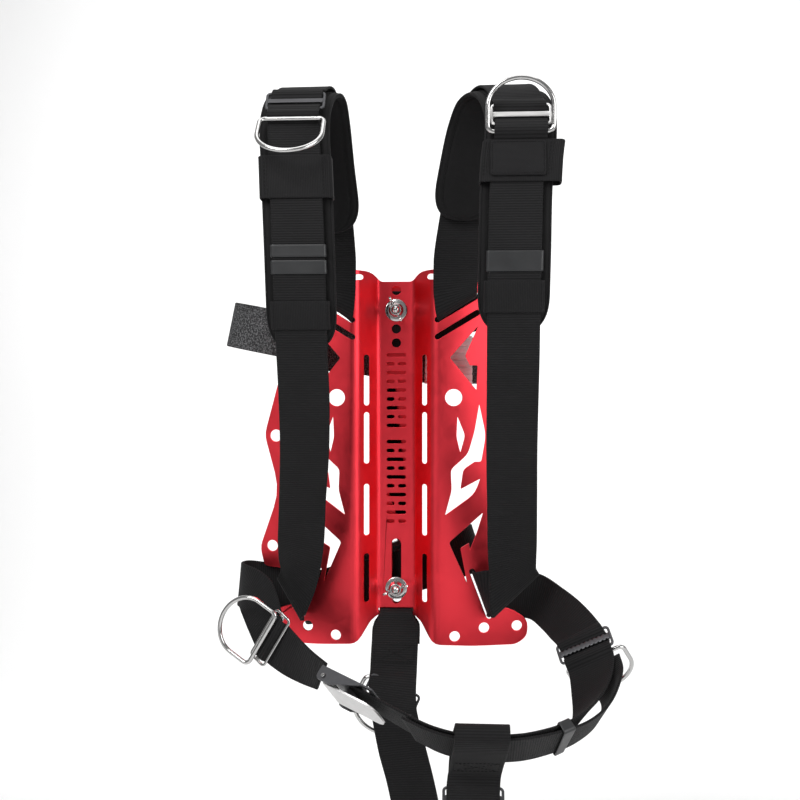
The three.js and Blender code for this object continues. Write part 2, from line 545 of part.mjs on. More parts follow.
// ---- rings and slides ---------------------------------------------------------------------------
// A D-ring in its own plane: straight bar on the x axis, bow towards +y.
function dRing() {
  const { half, depth, wire } = RING;
  const corner = 6;
  const line = [];
  for (let i = 0; i <= 3; i += 1) {
    const a = -Math.PI / 2 + (Math.PI / 2) * (i / 3);
    line.push([half - corner + corner * Math.cos(a), corner + corner * Math.sin(a)]);
  }
  const bowBase = depth - half + 4;
  for (let i = 0; i <= 14; i += 1) {
    const a = (Math.PI * i) / 14;
    line.push([half * Math.cos(a), bowBase + (depth - bowBase) * Math.sin(a)]);
  }
  line.push(...line.slice(0, 4).reverse().map(([x, y]) => [-x, y]));
  const sections = line.map(([x, y], i) => {
    const before = line[(i + line.length - 1) % line.length];
    const after = line[(i + 1) % line.length];
    const out = new THREE.Vector2(after[1] - before[1], before[0] - after[0]).normalize();
    return Array.from({ length: 8 }, (unused, k) => {
      const a = (Math.PI * k) / 4;
      const r = wire * Math.cos(a);
      return new THREE.Vector3(x + out.x * r, y + out.y * r, wire * Math.sin(a));
    });
  });
  return skin(sections, true);
}

// A three-bar slide: flat plate with two slots, long side on the x axis.
function threeBarSlide() {
  const { half, reach, bar, middle, thick } = SLIDE;
  const plate = roundedShape([[-half, -reach, 3], [half, -reach, 3], [half, reach, 3], [-half, reach, 3]]);
  const inner = half - 3;
  const mid = middle / 2;
  for (const [y0, y1] of [[-reach + bar, -mid], [mid, reach - bar]]) {
    plate.holes.push(new THREE.Path([
      new THREE.Vector2(-inner, y0), new THREE.Vector2(-inner, y1),
      new THREE.Vector2(inner, y1), new THREE.Vector2(inner, y0),
    ]));
  }
  const geometry = new THREE.ExtrudeGeometry(plate, { depth: thick, bevelEnabled: false, curveSegments: 3 });
  geometry.translate(0, 0, -thick / 2);
  return geometry;
}

const SLIDE_LIFT = WEB_T / 2 + GAP + SLIDE.thick / 2 + 0.3;

function rings() {
  add("left_shoulder_ring", placed(dRing(), [126.5, -152, 311], [1, 0, 0], [0, -0.06, 1]), STEEL);
  add("right_shoulder_ring", placed(dRing(), [-90, -149.5, 327], [-1, 0, 0], [0, -0.66, -0.75]), STEEL);
  add("left_waist_ring", placed(dRing(), [204, -69, -200], [22, -3, 11], [0.16, 0.6, -0.8]), STEEL);
  add("right_waist_ring", placed(dRing(), [-130.5, -86, -183], [12, -3, 20], [-44, 12, 27]), STEEL);
  add("crotch_ring", placed(dRing(), [-4, -12.5, -249], [0.88, 0, -0.47], [-0.47, 0.05, -0.88]), STEEL);
}

function slides() {
  add("left_shoulder_slide", onRoute(threeBarSlide(), LEFT_SHOULDER, 17.42, SLIDE_LIFT), DARK_STEEL);
  add("right_shoulder_slide", onRoute(threeBarSlide(), RIGHT_SHOULDER, 16.75, SLIDE_LIFT), DARK_STEEL);
  add("left_waist_slide", onRoute(threeBarSlide(), LEFT_WAIST, 6.4, -SLIDE_LIFT - 1.2), DARK_STEEL);
  add("right_waist_slide", onRoute(threeBarSlide(), RIGHT_WAIST, 10, SLIDE_LIFT + 1.2), STEEL);
  add("crotch_slide", placed(threeBarSlide(), [-3, -24.8, -252], [0.9, 0, -0.43], [0.43, 0.15, 0.9]), DARK_STEEL);
  add("crotch_front_slide", placed(threeBarSlide(), [82, -157, -314], [1, 0, 0], [0, 0.12, 1]), DARK_STEEL);
}

// ---- cam buckles --------------------------------------------------------------------------------
// Local axes: x across the webbing, y along it with the pivot towards +y, z outwards.
function sideWall(x, pivotY, length, floor, top) {
  // drawn as (height, along), round over the pin and running down to a point at the far end
  const wall = roundedShape([
    [floor, pivotY + 8, 1], [floor, -length / 2 + 14, 1], [floor + 2.4, -length / 2 + 14, 1], [top - 2, pivotY - 14, 6],
    [top, pivotY - 9, 4], [top, pivotY + 8, 6],
  ]);
  const geometry = new THREE.ExtrudeGeometry(wall, { depth: 2, bevelEnabled: false, curveSegments: 3 });
  geometry.rotateY(-Math.PI / 2);
  return geometry.translate(x + 2, 0, 0);
}

function camBuckle(name, { half, length, leverHalf, leverLength, floor, pinZ, pivot }, place) {
  const pivotY = length / 2 - 8;
  let frame = solidOf(box(-half, half, -length / 2, length / 2, floor, floor + 1.6));
  frame = frame.subtract(solidOf(box(-half + 5, half - 5, -length / 2 + 6, -length / 2 + 14, floor - 1, floor + 3)));
  for (const s of [-1, 1]) frame = frame.add(solidOf(sideWall(s > 0 ? half - 2 : -half, pivotY, length, floor, pinZ + 5)));
  const across = (geometry, z) => geometry.rotateZ(Math.PI / 2).translate(0, pivotY, z);
  const rod = (r, w) => across(new THREE.CylinderGeometry(r, r, 2 * w, 14), pinZ);
  frame = frame.subtract(solidOf(rod(pivot + 0.25, half + 1)));
  add(`${name}_frame`, place(geometryOf(frame)), STEEL);
  add(`${name}_pin`, place(rod(pivot, half + 2.5)), STEEL);
  const blade = roundedShape([
    [-leverHalf, pivotY + 3, 2], [-leverHalf, pivotY - leverLength, leverHalf * 0.8],
    [leverHalf, pivotY - leverLength, leverHalf * 0.8], [leverHalf, pivotY + 3, 2],
  ]);
  const bladeBody = new THREE.ExtrudeGeometry(blade, { depth: 1.8, bevelEnabled: false, curveSegments: 4 });
  bladeBody.translate(0, 0, pinZ + pivot + 0.6);
  let lever = solidOf(bladeBody).add(solidOf(rod(pivot + 2.2, leverHalf)));
  lever = lever.subtract(solidOf(rod(pivot + 0.25, half + 1)));
  add(`${name}_lever`, place(geometryOf(lever)), STEEL);
}

function camBuckles() {
  camBuckle("waist_buckle", { half: 30.5, length: 62, leverHalf: 22, leverLength: 60, floor: -3.2, pinZ: 6, pivot: 2 },
    (geometry) => onRoute(geometry.rotateZ(Math.PI), LEFT_WAIST, 18, 0));
  camBuckle("upper_cam", { half: 29, length: 58, leverHalf: 25, leverLength: 50, floor: 2, pinZ: 8.4, pivot: 2 },
    (geometry) => onRoute(geometry, UPPER_BAND, 10.6, 0));
  camBuckle("lower_cam", { half: 29, length: 58, leverHalf: 25, leverLength: 50, floor: 2, pinZ: 8.4, pivot: 2 },
    (geometry) => onRoute(geometry, LOWER_BAND, 8.4, 0));
}

// ---- assembly -----------------------------------------------------------------------------------
backplate();
adapterRail();
boltSet("upper", BOLT_TOP_Z, 1.1);
boltSet("lower", BOLT_LOW_Z, -0.35);
lowerSpacer();
straps();
shoulderPad("left", LEFT_SHOULDER, 10.9, 22.5);
shoulderPad("right", RIGHT_SHOULDER, 10.6, 22.9);
padKeeper("left_upper_keeper", LEFT_SHOULDER, 18.35, 19.65, 7);
padKeeper("right_upper_keeper", RIGHT_SHOULDER, 18.9, 20.05);
webKeeper("left_lower_keeper", LEFT_SHOULDER, 21.5, 22.05, { half: WEB + 2 });
webKeeper("right_lower_keeper", RIGHT_SHOULDER, 21.85, 22.4, { half: WEB + 2 });
webKeeper("left_elastic_band", LEFT_SHOULDER, 21.0, 21.35, { half: WEB + 0.5, wall: 1.2, material: RUBBER_BLACK });
webKeeper("right_elastic_band_1", RIGHT_SHOULDER, 20.9, 21.12, { half: WEB + 0.5, wall: 1.2, material: RUBBER_BLACK });
webKeeper("right_elastic_band_2", RIGHT_SHOULDER, 21.17, 21.4, { half: WEB + 0.5, wall: 1.2, material: RUBBER_BLACK });
webKeeper("belt_keeper", LEFT_WAIST, 10.7, 11.1, { high: OVER_WEB + 6.5, material: RUBBER_BLACK });
labelPatch();
rings();
slides();
camBuckles();
add("upper_band_grip", sleeve(UPPER_BAND, { u0: 3.2, u1: 4.4, half: WEB + 0.5, low: -1.8, high: 1.8, wall: 1.2 }),
  RUBBER_GREY);

export default model;
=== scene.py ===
"""Diving backplate harness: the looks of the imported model, laid out as an add-on and run as a script."""
import json
from math import pi, radians

import bpy
import bmesh
import numpy as np
from bpy.props import FloatProperty, FloatVectorProperty, PointerProperty
from mathutils import Matrix, Vector

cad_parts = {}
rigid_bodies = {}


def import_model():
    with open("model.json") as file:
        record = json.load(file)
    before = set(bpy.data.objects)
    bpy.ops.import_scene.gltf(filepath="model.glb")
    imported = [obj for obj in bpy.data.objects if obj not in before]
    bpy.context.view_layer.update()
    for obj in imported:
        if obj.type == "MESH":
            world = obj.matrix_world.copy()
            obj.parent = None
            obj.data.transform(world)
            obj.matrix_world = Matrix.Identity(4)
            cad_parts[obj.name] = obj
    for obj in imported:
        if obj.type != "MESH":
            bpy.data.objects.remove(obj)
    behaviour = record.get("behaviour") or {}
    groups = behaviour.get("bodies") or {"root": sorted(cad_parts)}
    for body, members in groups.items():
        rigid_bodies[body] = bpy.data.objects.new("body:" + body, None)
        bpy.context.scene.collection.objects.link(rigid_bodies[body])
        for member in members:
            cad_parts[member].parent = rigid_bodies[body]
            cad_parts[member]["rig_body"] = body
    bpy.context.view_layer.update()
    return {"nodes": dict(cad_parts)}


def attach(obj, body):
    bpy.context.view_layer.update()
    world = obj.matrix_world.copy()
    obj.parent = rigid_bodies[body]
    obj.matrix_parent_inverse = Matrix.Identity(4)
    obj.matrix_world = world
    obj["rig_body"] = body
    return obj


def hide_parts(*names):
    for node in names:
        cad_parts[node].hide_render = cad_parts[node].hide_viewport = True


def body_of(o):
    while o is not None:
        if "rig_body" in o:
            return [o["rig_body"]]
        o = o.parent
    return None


bl_info = {
    "name": "Diving Backplate Harness",
    "version": (1, 0, 0),
    "blender": (4, 5, 0),
    "location": "View3D > Sidebar > Harness",
    "description": "Anodised backplate with a webbing harness, pads, rings, slides and cam buckles",
    "category": "Object",
}

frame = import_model()
MM = 0.001
HALF_WEB = 25.0       # half width of the webbing, mm
FINE_STEPS = 2400     # samples with which a distance along a route is measured
BOLTS = (("upper", 156, "harness"), ("lower", -143, "lower_bolt_set"))  # name, height in mm, body

# ---- routes of the straps: rows of centre and half width, in millimetres -------------------------
LEFT_SHOULDER = (
    (-24, 1.5, 152, 0, 0, -25), (12, 1.5, 152, 0, 0, -25), (22, 1.5, 152, 0, 0, -25),
    (41, -4, 153, -7, -4, -22), (57, -13, 156, -17, -6, -17), (65.5, -18, 157, -20.5, -5.2, -13),
    (65.5, -24, 157.5, -20.5, -5.2, -13), (65, -28.5, 163, -22, -5.6, -11), (64, -30, 176, -23, -5.8, -4),
    (65, -33, 196, -24, -5, 0), (67, -38, 214, -25, -2, 0), (73, -46, 251, -25, 0, 0),
    (82, -58, 300, -25, 0, 0), (92, -72, 342, -25, 0, 0), (101, -88, 362, -25, 0, 0),
    (111, -105, 367, -25, 0, 0), (119, -122, 359, -25, 0, 0), (126, -138, 338, -25, 0, 0),
    (127, -147, 313, -25, 0, 0), (124, -152, 285, -25, 0, 0), (122, -156, 250, -25, 0, 0),
    (121, -156, 199, -25, 0, 0), (120, -150, 144, -25, 0, 0), (120, -138, 100, -25, 0, 0),
    (120, -122, 59, -25, 0, 0), (120, -104, 10, -25, 0, 0), (121, -84, -41, -25, 0, 0),
    (122, -64, -88, -25, 0, -3), (123, -51, -118, -24, 0, -11), (123.5, -45.5, -135, -24, 0, -20),
    (126.5, -40.5, -144, -23.5, 0, -23), (119, -36.5, -143, -20, 0, -22.5), (108, -34, -141, -11, 0, -23.5),
    (98, -30, -143, -1, 1, -24.5), (92, -23.5, -146, 8, 1.5, -24), (90.5, -17, -146, 8.5, 2, -23.5),
    (90.5, -12.5, -146, 8.5, 2, -23.5),
)
RIGHT_SHOULDER = (
    (90, 4.5, 160, 5, 0, -24.5), (-12, 4.5, 138, 2, 0, -24.9), (-22, 4.4, 138, 0, 0, -25),
    (-41, -3, 145, 7, -4, -22), (-57, -12, 153, 17, -6, -17), (-65.5, -18, 157, 20.5, -5.2, -13),
    (-65.5, -24, 157.5, 20.5, -5.2, -13), (-65, -28.5, 163, 22, -5.6, -11), (-64, -30, 176, 23, -5.8, -4),
    (-64, -33, 196, 24, -5, 0), (-65, -38, 212, 25, -2, 0), (-68, -46, 252, 25, 0, 0),
    (-73, -58, 302, 25, 0, 0), (-76, -72, 343, 25, 0, 0), (-78, -88, 363, 25, 0, 0),
    (-81, -105, 368, 25, 0, 0), (-86, -122, 360, 25, 0, 0), (-89, -138, 340, 25, 0, 0),
    (-89, -147, 315, 25, 0, 0), (-87, -152, 288, 25, 0, 0), (-85, -156, 252, 25, 0, 0),
    (-83, -156, 201, 25, 0, 0), (-82, -150, 145, 25, 0, 0), (-82, -138, 101, 25, 0, 0),
    (-82, -125, 59, 25, 0, 0), (-84, -108, 10, 24, 4, 0), (-89, -88, -41, 23, 6, 0),
    (-94, -67, -87, 23, 5, -5), (-99, -53, -118, 20, 2, -13), (-104.5, -45.5, -140, 14, 0, -20.5),
    (-110.5, -40, -150, 12, 0, -21.5), (-105, -35.5, -150, 9, 0, -23), (-99, -32, -149, 3, 1, -24.5),
    (-94, -27, -147.5, -4, 1, -24.5), (-91, -21, -146, -8, 1.5, -24), (-90.5, -16, -146, -8.5, 2, -23.5),
    (-90.5, -12.5, -146, -8.5, 2, -23.5),
)
LEFT_WAIST = (
    (95, -9, -147, 8.5, 2, -24), (110, -4.5, -148.5, 5, 1, -24.5), (127, 1.5, -149, 0, 1, -25),
    (148, 0, -151, -5, 0, -24.5), (166, -16, -161, -11, 2, -22), (180, -38, -171, -17, 3, -18),
    (192, -62, -183, -22, 3, -11), (199, -82, -200, -22, 4, -11), (198, -102, -218, -19, 8, -13),
    (192, -122, -234, -13, 13, -16), (180, -140, -246, -7, 17, -17), (160, -156, -253, -3, 19, -16),
    (132, -168, -258, -1, 19, -16), (113, -172, -259, 0, 19, -16), (84, -171, -260, 2, 19, -16),
    (49, -163, -255, 4, 19, -16), (16, -151, -243, 6, 18, -16), (-10, -141, -232, 7, 18, -16),
    (-30, -132, -224, 7, 18, -16),
)
BELT_END = (
    (207, -78, -205, -20, 7, -13), (215, -95, -217, -12, 15, -16), (214, -112, -230, -5, 19, -15),
    (204, -125, -243, -5, 18, -16), (185, -143, -252.5, -5, 18, -16), (162, -159.5, -257, -3, 19, -16),
    (132, -171.5, -261, -1, 19, -16), (113, -175, -262, 0, 19, -16), (84, -174, -263, 2, 19, -16),
    (48, -166, -258, 4, 19, -16), (22, -157, -249, 6, 18, -16),
)
RIGHT_WAIST = (
    (-95, -9, -147, -8.5, 2, -24), (-110, -4.5, -147, -5, 1, -24.5), (-127, 1.5, -145, 0, 1, -25),
    (-146, 1, -141, 0, 0, -24.5), (-161, -7, -138, -1, 0, -24), (-166, -20, -137, -2, 1, -23),
    (-161, -34, -137, -5, 1, -22), (-152, -46, -138, -10, 1, -20), (-142, -57, -145, -15, 0, -18),
    (-132, -68, -162, -15, 1, -18), (-121, -79, -182, -12, 3, -20), (-103, -90, -196, -10, 7, -20),
    (-84, -101, -206, -8, 13, -19), (-66, -111, -213, -7, 17, -17),
)
CROTCH = (
    (0, 2, -204, 25, 0, 0), (0, 2, -182, 25, 0, 0), (0, 2.2, -174, 20, 0, 0), (0, 1.9, -168.5, 18, 0, 0),
    (0, -1.5, -165.9, 18, 0, 0), (0, -4.9, -168.5, 17.5, 0, 0), (0, -6.2, -176, 20, 0, 0),
    (0, -7.5, -183, 25, 0, 0), (-1, -11, -200, 25, 0, 0), (-2, -16, -226, 25, 0, -1),
    (-2, -22, -263, 25, 0, -3), (7, -30, -305, 25, 0, 3), (17, -37, -340, 25, 0, 1),
    (24, -44, -370, 25, 0, 0), (32, -60, -420, 25, 0, 0), (42, -85, -460, 25, 0, 0),
    (55, -115, -475, 25, 0, 0), (67, -143, -460, 25, 0, 0), (76, -158, -420, 25, 0, 0),
    (80, -160, -370, 25, 0, 0), (81.5, -154, -335, 25, 0, 0), (82, -150, -321, 25, 0, 0),
)
CROTCH_LOOP = (
    (82, -152.5, -317, 25, 0, 0), (82, -153, -299, 25, 0, 0), (84, -161, -286, 25, 0, 0),
    (86, -179, -271, 25, 0, 0), (89, -198, -253, 25, 0, 0), (90, -203, -242, 25, 0, 0),
    (90, -198, -234, 25, 0, 0), (90, -186, -236, 25, 0, 0), (88, -164, -249, 25, 0, 0),
    (86, -145, -265, 25, 0, 0), (84, -138, -283, 25, 0, 0), (83, -140, -300, 25, 0, 0),
    (82, -147.5, -317, 25, 0, 0),
)
UPPER_BAND = (
    (-150, 16, 136.5, 5, 0, 24.5), (-80, 16, 121.8, 5, 0, 24.5), (-20, 16, 109, 4, 0, 24.7),
    (20, 16, 104.5, 1, 0, 25), (72, 16, 103, 0, 0, 25), (91, 24, 102.5, 0, 0, 25),
    (98, 39, 102.5, 0, 0, 25), (91, 54, 102.5, 0, 0, 25), (72, 62, 103, 0, 0, 25),
    (20, 62, 104.5, 1, 0, 25), (-30, 62, 111.5, 5, 0, 24.5),
    (-110, 62, 128.3, 5, 0, 24.5), (-150, 62, 136.5, 5, 0, 24.5), (-177, 54, 142, 5, 0, 24.5),
    (-188, 39, 144.5, 5, 0, 24.5), (-177, 24, 142, 5, 0, 24.5),
)
LOWER_BAND = (
    (-85, 16, -158.8, -8, 0, 23.7), (-20, 16, -137.5, -8, 0, 23.7), (20, 16, -124.5, -8, 0, 23.7),
    (62, 16, -110.7, -8, 0, 23.7), (81, 24, -104.5, -8, 0, 23.7), (88, 39, -102.2, -8, 0, 23.7),
    (81, 54, -104.5, -8, 0, 23.7), (62, 62, -110.7, -8, 0, 23.7), (20, 62, -124.5, -8, 0, 23.7),
    (-60, 62, -150.6, -8, 0, 23.7), (-85, 62, -158.8, -8, 0, 23.7), (-104, 54, -165, -8, 0, 23.7),
    (-111, 39, -167.3, -8, 0, 23.7), (-104, 24, -165, -8, 0, 23.7),
)
# name: (rows, side of the strap that faces outwards, whether the route closes on itself)
ROUTES = {
    "left_shoulder": (LEFT_SHOULDER, -1, False),
    "right_shoulder": (RIGHT_SHOULDER, 1, False),
    "left_waist": (LEFT_WAIST, 1, False),
    "belt_end": (BELT_END, 1, False),
    "right_waist": (RIGHT_WAIST, -1, False),
    "crotch": (CROTCH, 1, False),
    "crotch_loop": (CROTCH_LOOP, -1, False),
    "upper_band": (UPPER_BAND, 1, True),
    "lower_band": (LOWER_BAND, 1, True),
}


def unit(v):
    """Each vector divided by its own length."""
    v = np.asarray(v, float)
    return v / np.maximum(np.linalg.norm(v, axis=-1, keepdims=True), 1e-12)


def cubic(p, u, closed, centripetal):
    """Points and slopes of a smooth curve through the rows p at row numbers u.

    Between rows 1 and 2 it is the cubic with end slopes from rows 0..3. For the centripetal kind the spacing
    of the knots is the square root of the distance, otherwise the slope is half the step over two rows.
    """
    n = len(p)
    u = np.asarray(u, float)
    i = np.floor(u).astype(int)
    if not closed:
        i = np.clip(i, 0, n - 2)
    w = (u - i)[..., None]
    if closed:
        p0, p1, p2, p3 = p[(i - 1) % n], p[i % n], p[(i + 1) % n], p[(i + 2) % n]
    else:
        padded = np.vstack([2 * p[0] - p[1], p, 2 * p[-1] - p[-2]])
        p0, p1, p2, p3 = padded[i], padded[i + 1], padded[i + 2], padded[i + 3]
    if centripetal:
        def knot(a, b):
            return np.sqrt(np.linalg.norm(b - a, axis=-1, keepdims=True)) + 1e-9

        d0, d1, d2 = knot(p0, p1), knot(p1, p2), knot(p2, p3)
        m1 = ((p1 - p0) / d0 - (p2 - p0) / (d0 + d1) + (p2 - p1) / d1) * d1
        m2 = ((p2 - p1) / d1 - (p3 - p1) / (d1 + d2) + (p3 - p2) / d2) * d1
    else:
        m1, m2 = 0.5 * (p2 - p0), 0.5 * (p3 - p1)
    c2 = -3 * p1 + 3 * p2 - 2 * m1 - m2
    c3 = 2 * p1 - 2 * p2 + m1 + m2
    return p1 + w * (m1 + w * (c2 + w * c3)), m1 + w * (2 * c2 + 3 * w * c3)


class Along:
    """Sections of a route at row numbers u: centre, half width vector, unit side and outward directions."""

    def __init__(self, route, u):
        rows, face, closed = ROUTES[route]
        rows = np.array(rows, float) * MM
        self.centre, slope = cubic(rows[:, :3], u, closed, True)
        self.half, _ = cubic(rows[:, 3:], u, closed, False)
        self.side = unit(self.half)
        self.out = face * unit(np.cross(unit(slope), self.half))

    def distance(self):
        """Distance along the centre line from the first section, in metres."""
        steps = np.linalg.norm(np.diff(self.centre, axis=0), axis=1)
        return np.concatenate([[0.0], np.cumsum(steps)])

    def place(self, across, rise):
        """Points (sections, corners, 3): centre + side * across + out * rise, both in millimetres."""
        return (
            self.centre[:, None]
            + self.side[:, None] * (across * MM)[..., None]
            + self.out[:, None] * (rise * MM)[..., None]
        )

    def line(self, across, rise):
        """One point for each section, at across and rise millimetres from its centre."""
        return self.centre + self.side * np.reshape(across * MM, (-1, 1)) + self.out * rise * MM


def even_rows(route, u0, u1, spacing):
    """Row numbers between u0 and u1 whose points lie spacing millimetres apart along the route."""
    fine = np.linspace(u0, u1, FINE_STEPS)
    d = Along(route, fine).distance()
    count = max(4, int(round(d[-1] / (spacing * MM))))
    return np.interp(np.linspace(0, d[-1], count + 1), d, fine)


def distance_to(route, u, at):
    """Signed distance in metres along the route from row number at to each of the row numbers u."""
    margin = 0.01
    fine = np.linspace(min(u.min(), at) - margin, max(u.max(), at) + margin, FINE_STEPS)
    d = Along(route, fine).distance()
    return np.interp(u, fine, d) - np.interp(at, fine, d)


def step(x, start, end):
    """0 before start, 1 after end, and the smooth cubic 3t^2 - 2t^3 between them."""
    t = np.clip((x - start) / (end - start), 0, 1)
    return t * t * (3 - 2 * t)


def put_in_scene(name, data):
    """A new object for a mesh, light or camera, linked to the scene."""
    obj = bpy.data.objects.new(name, data)
    bpy.context.scene.collection.objects.link(obj)
    return obj


def finish_mesh(name, verts, faces, body, replaces=(), uv=None):
    """Puts arrays of vertices, faces and corner texture positions into an object that rides on a body."""
    mesh = bpy.data.meshes.new(name)
    faces = [np.asarray(f).tolist() for f in faces]
    mesh.from_pydata(np.asarray(verts, float).reshape(-1, 3).tolist(), [], sum(faces, []))
    if uv is not None:
        layer = mesh.uv_layers.new(name="cloth")
        layer.data.foreach_set("uv", np.asarray(uv, np.float32).ravel())
    mesh.polygons.foreach_set("use_smooth", np.full(len(mesh.polygons), True))
    mesh.validate()
    mesh.update()
    obj = put_in_scene(name, mesh)
    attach(obj, body)
    if replaces:
        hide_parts(*replaces)
    return obj


def grid_faces(m, n, closed_m, closed_n):
    """Four-sided faces of an m by n grid of vertices, which may join up in either direction."""
    i = np.arange(m if closed_m else m - 1)[:, None]
    j = np.arange(n if closed_n else n - 1)[None, :]
    a = (i % m) * n + (j % n)
    b = (i % m) * n + ((j + 1) % n)
    c = ((i + 1) % m) * n + ((j + 1) % n)
    d = ((i + 1) % m) * n + (j % n)
    return np.stack([a, b, c, d], axis=-1).reshape(-1, 4)


def grid_uv(u, v, u_end, v_end):
    """Corner texture positions of a grid whose rows close up, from u and v per vertex.

    u_end is the column that u runs on to at the join. v_end is the row that v runs on to where the grid
    closes lengthways too, and None where it doesn't.
    """
    u = np.hstack([u, u_end])
    v = np.hstack([v, v[:, :1]])
    if v_end is not None:
        u = np.vstack([u, u[:1]])
        v = np.vstack([v, v_end])
    uv = np.stack([u, v], axis=-1)
    return np.stack([uv[:-1, :-1], uv[:-1, 1:], uv[1:, 1:], uv[1:, :-1]], axis=2).reshape(-1, 2)


def volume_of(points, faces):
    """Six times the volume that the faces close in, negative if they point inwards."""
    a, b, c, d = (points[faces[:, k]] for k in range(4))
    return float((a * np.cross(b, c)).sum() + (a * np.cross(c, d)).sum())


def face_outwards(points, faces, uv):
    """Turns faces and their texture positions round if they point inwards; also gives the sign, 1 or -1."""
    if volume_of(points, faces) >= 0:
        return faces, uv, 1
    return faces[:, ::-1], uv.reshape(-1, 4, 2)[:, ::-1].reshape(-1, 2), -1


def swept(name, sections, body, replaces=(), closed=False, along=None):
    """A skin over a row of closed sections, an array (stations, corners, 3), with flat ends unless it closes.

    The texture runs with the distance round the section and with along, the distance of each station. Where
    that isn't given, it is measured through the sections' middles.
    """
    m, n, _ = sections.shape
    points = sections.reshape(-1, 3)
    steps = np.linalg.norm(np.roll(sections, -1, axis=1) - sections, axis=2)
    across = np.hstack([np.zeros((m, 1)), np.cumsum(steps, axis=1)])
    if along is None:
        mid = sections.mean(axis=1)
        along = np.concatenate([[0], np.cumsum(np.linalg.norm(np.diff(mid, axis=0), axis=1))])
    v = np.repeat(along[:, None], n, axis=1)
    v_end = None
    if closed:
        last = np.linalg.norm(sections[0].mean(axis=0) - sections[-1].mean(axis=0))
        v_end = np.full((1, n + 1), along[-1] + last)
    uv = grid_uv(across[:, :-1], v, across[:, -1:], v_end)
    faces, uv, sign = face_outwards(points, grid_faces(m, n, closed, True), uv)
    all_faces, all_uv = [faces], [uv]
    if not closed:
        for first, turn, end in ((0, -sign, along[0]), ((m - 1) * n, sign, along[-1])):
            all_faces.append((first + np.arange(n))[None, ::turn])
            all_uv.append(np.stack([across[0, :-1][::turn], np.full(n, end)], axis=-1))
    return finish_mesh(name, points, all_faces, body, replaces, np.vstack(all_uv))


def webbing_section(half, thick):
    """Corners of webbing in its own section: flat faces, a slightly thicker woven edge, and a round selvedge.

    The half thickness at w from the middle is t/2 (1 + 0.1 exp(-((w - (half - 2)) / 0.9)^2)), and within t/2
    of the edge it falls as a quarter circle.
    """
    r = thick / 2
    inner = np.linspace(-(half - 4.2), half - 4.2, 9)
    rim = half - np.array([3.4, 2.7, 2.1, 1.6, r, 0.62 * r, 0.3 * r, 0.08 * r, 0.0])
    w = np.concatenate([-rim[::-1], inner, rim])
    h = r * (1 + 0.1 * np.exp(-(((np.abs(w) - (half - 2)) / 0.9) ** 2)))
    into = np.clip((np.abs(w) - (half - r)) / r, 0, 1)
    h = h * np.sqrt(1 - into**2)
    return np.concatenate([w, w[-2:0:-1]]), np.concatenate([h, -h[-2:0:-1]])


def strap(route, key, node, lift=None, wave=0.35, thick=2.4):
    """Webbing along a whole route: centre + side * w * (half width / 25) + out * (h + lift + ripple).

    The ripple is wave * sin(distance / 21 mm) at the edges. It fades to nothing in the middle of the width
    and near the ends of an open route, and there is none where the webbing is lifted outwards.
    """
    rows, _, closed = ROUTES[route]
    spacing, wave_length, calm = 3.5, 0.021, (0.02, 0.09)
    u = even_rows(route, 0, len(rows) if closed else len(rows) - 1, spacing)
    if closed:
        u = u[:-1]
    s = Along(route, u)
    w, h = webbing_section(HALF_WEB, thick)
    width = np.linalg.norm(s.half, axis=1) / (HALF_WEB * MM)
    d = s.distance()
    ease = np.ones_like(d) if closed else step(d, *calm) * step(d[-1] - d, *calm)
    rise = np.zeros_like(u) if lift is None else lift(u)
    edge = np.sign(w) * (w / HALF_WEB) ** 2
    ripple = wave * (ease * np.sin(d / wave_length) * (rise < 0.1))[:, None] * edge[None]
    points = s.place(w[None] * width[:, None], h[None] + rise[:, None] + ripple)
    return finish(swept(f"{route}_webbing", points, "harness", (node,), closed, along=d), key)


def over_bars(route, at, rings=(), high=5.0, way=1):
    """Height of webbing woven through a slide at row number at, as a function of the row number.

    It goes up over both outer bars and down under the middle one, and up over a ring's bar at each
    (row number, height, length of the fall below it) of rings.
    """
    climb, descent = (3.2, 7.4), (13.5, 20.0)  # from the middle bar up to an outer one, and down beyond it

    def lift(u):
        s = np.abs(distance_to(route, u, at)) / MM
        rise = high * step(s, *climb) * (1 - step(s, *descent))
        for ring_at, ring_high, below in rings:
            r = distance_to(route, u, ring_at) / MM
            fold = np.where(r < 0, 1 - step(-r, 2.0, 11.0), 1 - step(r, 0.2 * below, below))
            rise = np.maximum(rise, ring_high * fold)
        return way * rise

    return lift


def over_middle(route, at, high):
    """Height of webbing that passes over a slide's middle bar and under its outer bars."""
    descent = (3.0, 9.2)

    def lift(u):
        return high * (1 - step(np.abs(distance_to(route, u, at)) / MM, *descent))

    return lift


def over_all(route, at, high, reach):
    """Height of webbing that lies over a whole slide: level for reach mm each way, then down over 11 mm."""
    descent = (reach, reach + 11.0)

    def lift(u):
        return high * (1 - step(np.abs(distance_to(route, u, at)) / MM, *descent))

    return lift


def round_box(a, low, high, r, n=6):
    """Points and outward normals round a rectangle from -a to a and low to high with corners of radius r."""
    right, left, top, bottom = a - r, r - a, high - r, low + r
    corners = ((right, top, 0.0), (left, top, pi / 2), (left, bottom, pi), (right, bottom, 1.5 * pi))
    angle = np.concatenate([c[2] + np.linspace(0, pi / 2, n) for c in corners])
    x = np.repeat([c[0] for c in corners], n) + r * np.cos(angle)
    y = np.repeat([c[1] for c in corners], n) + r * np.sin(angle)
    return x, y, np.cos(angle), np.sin(angle)


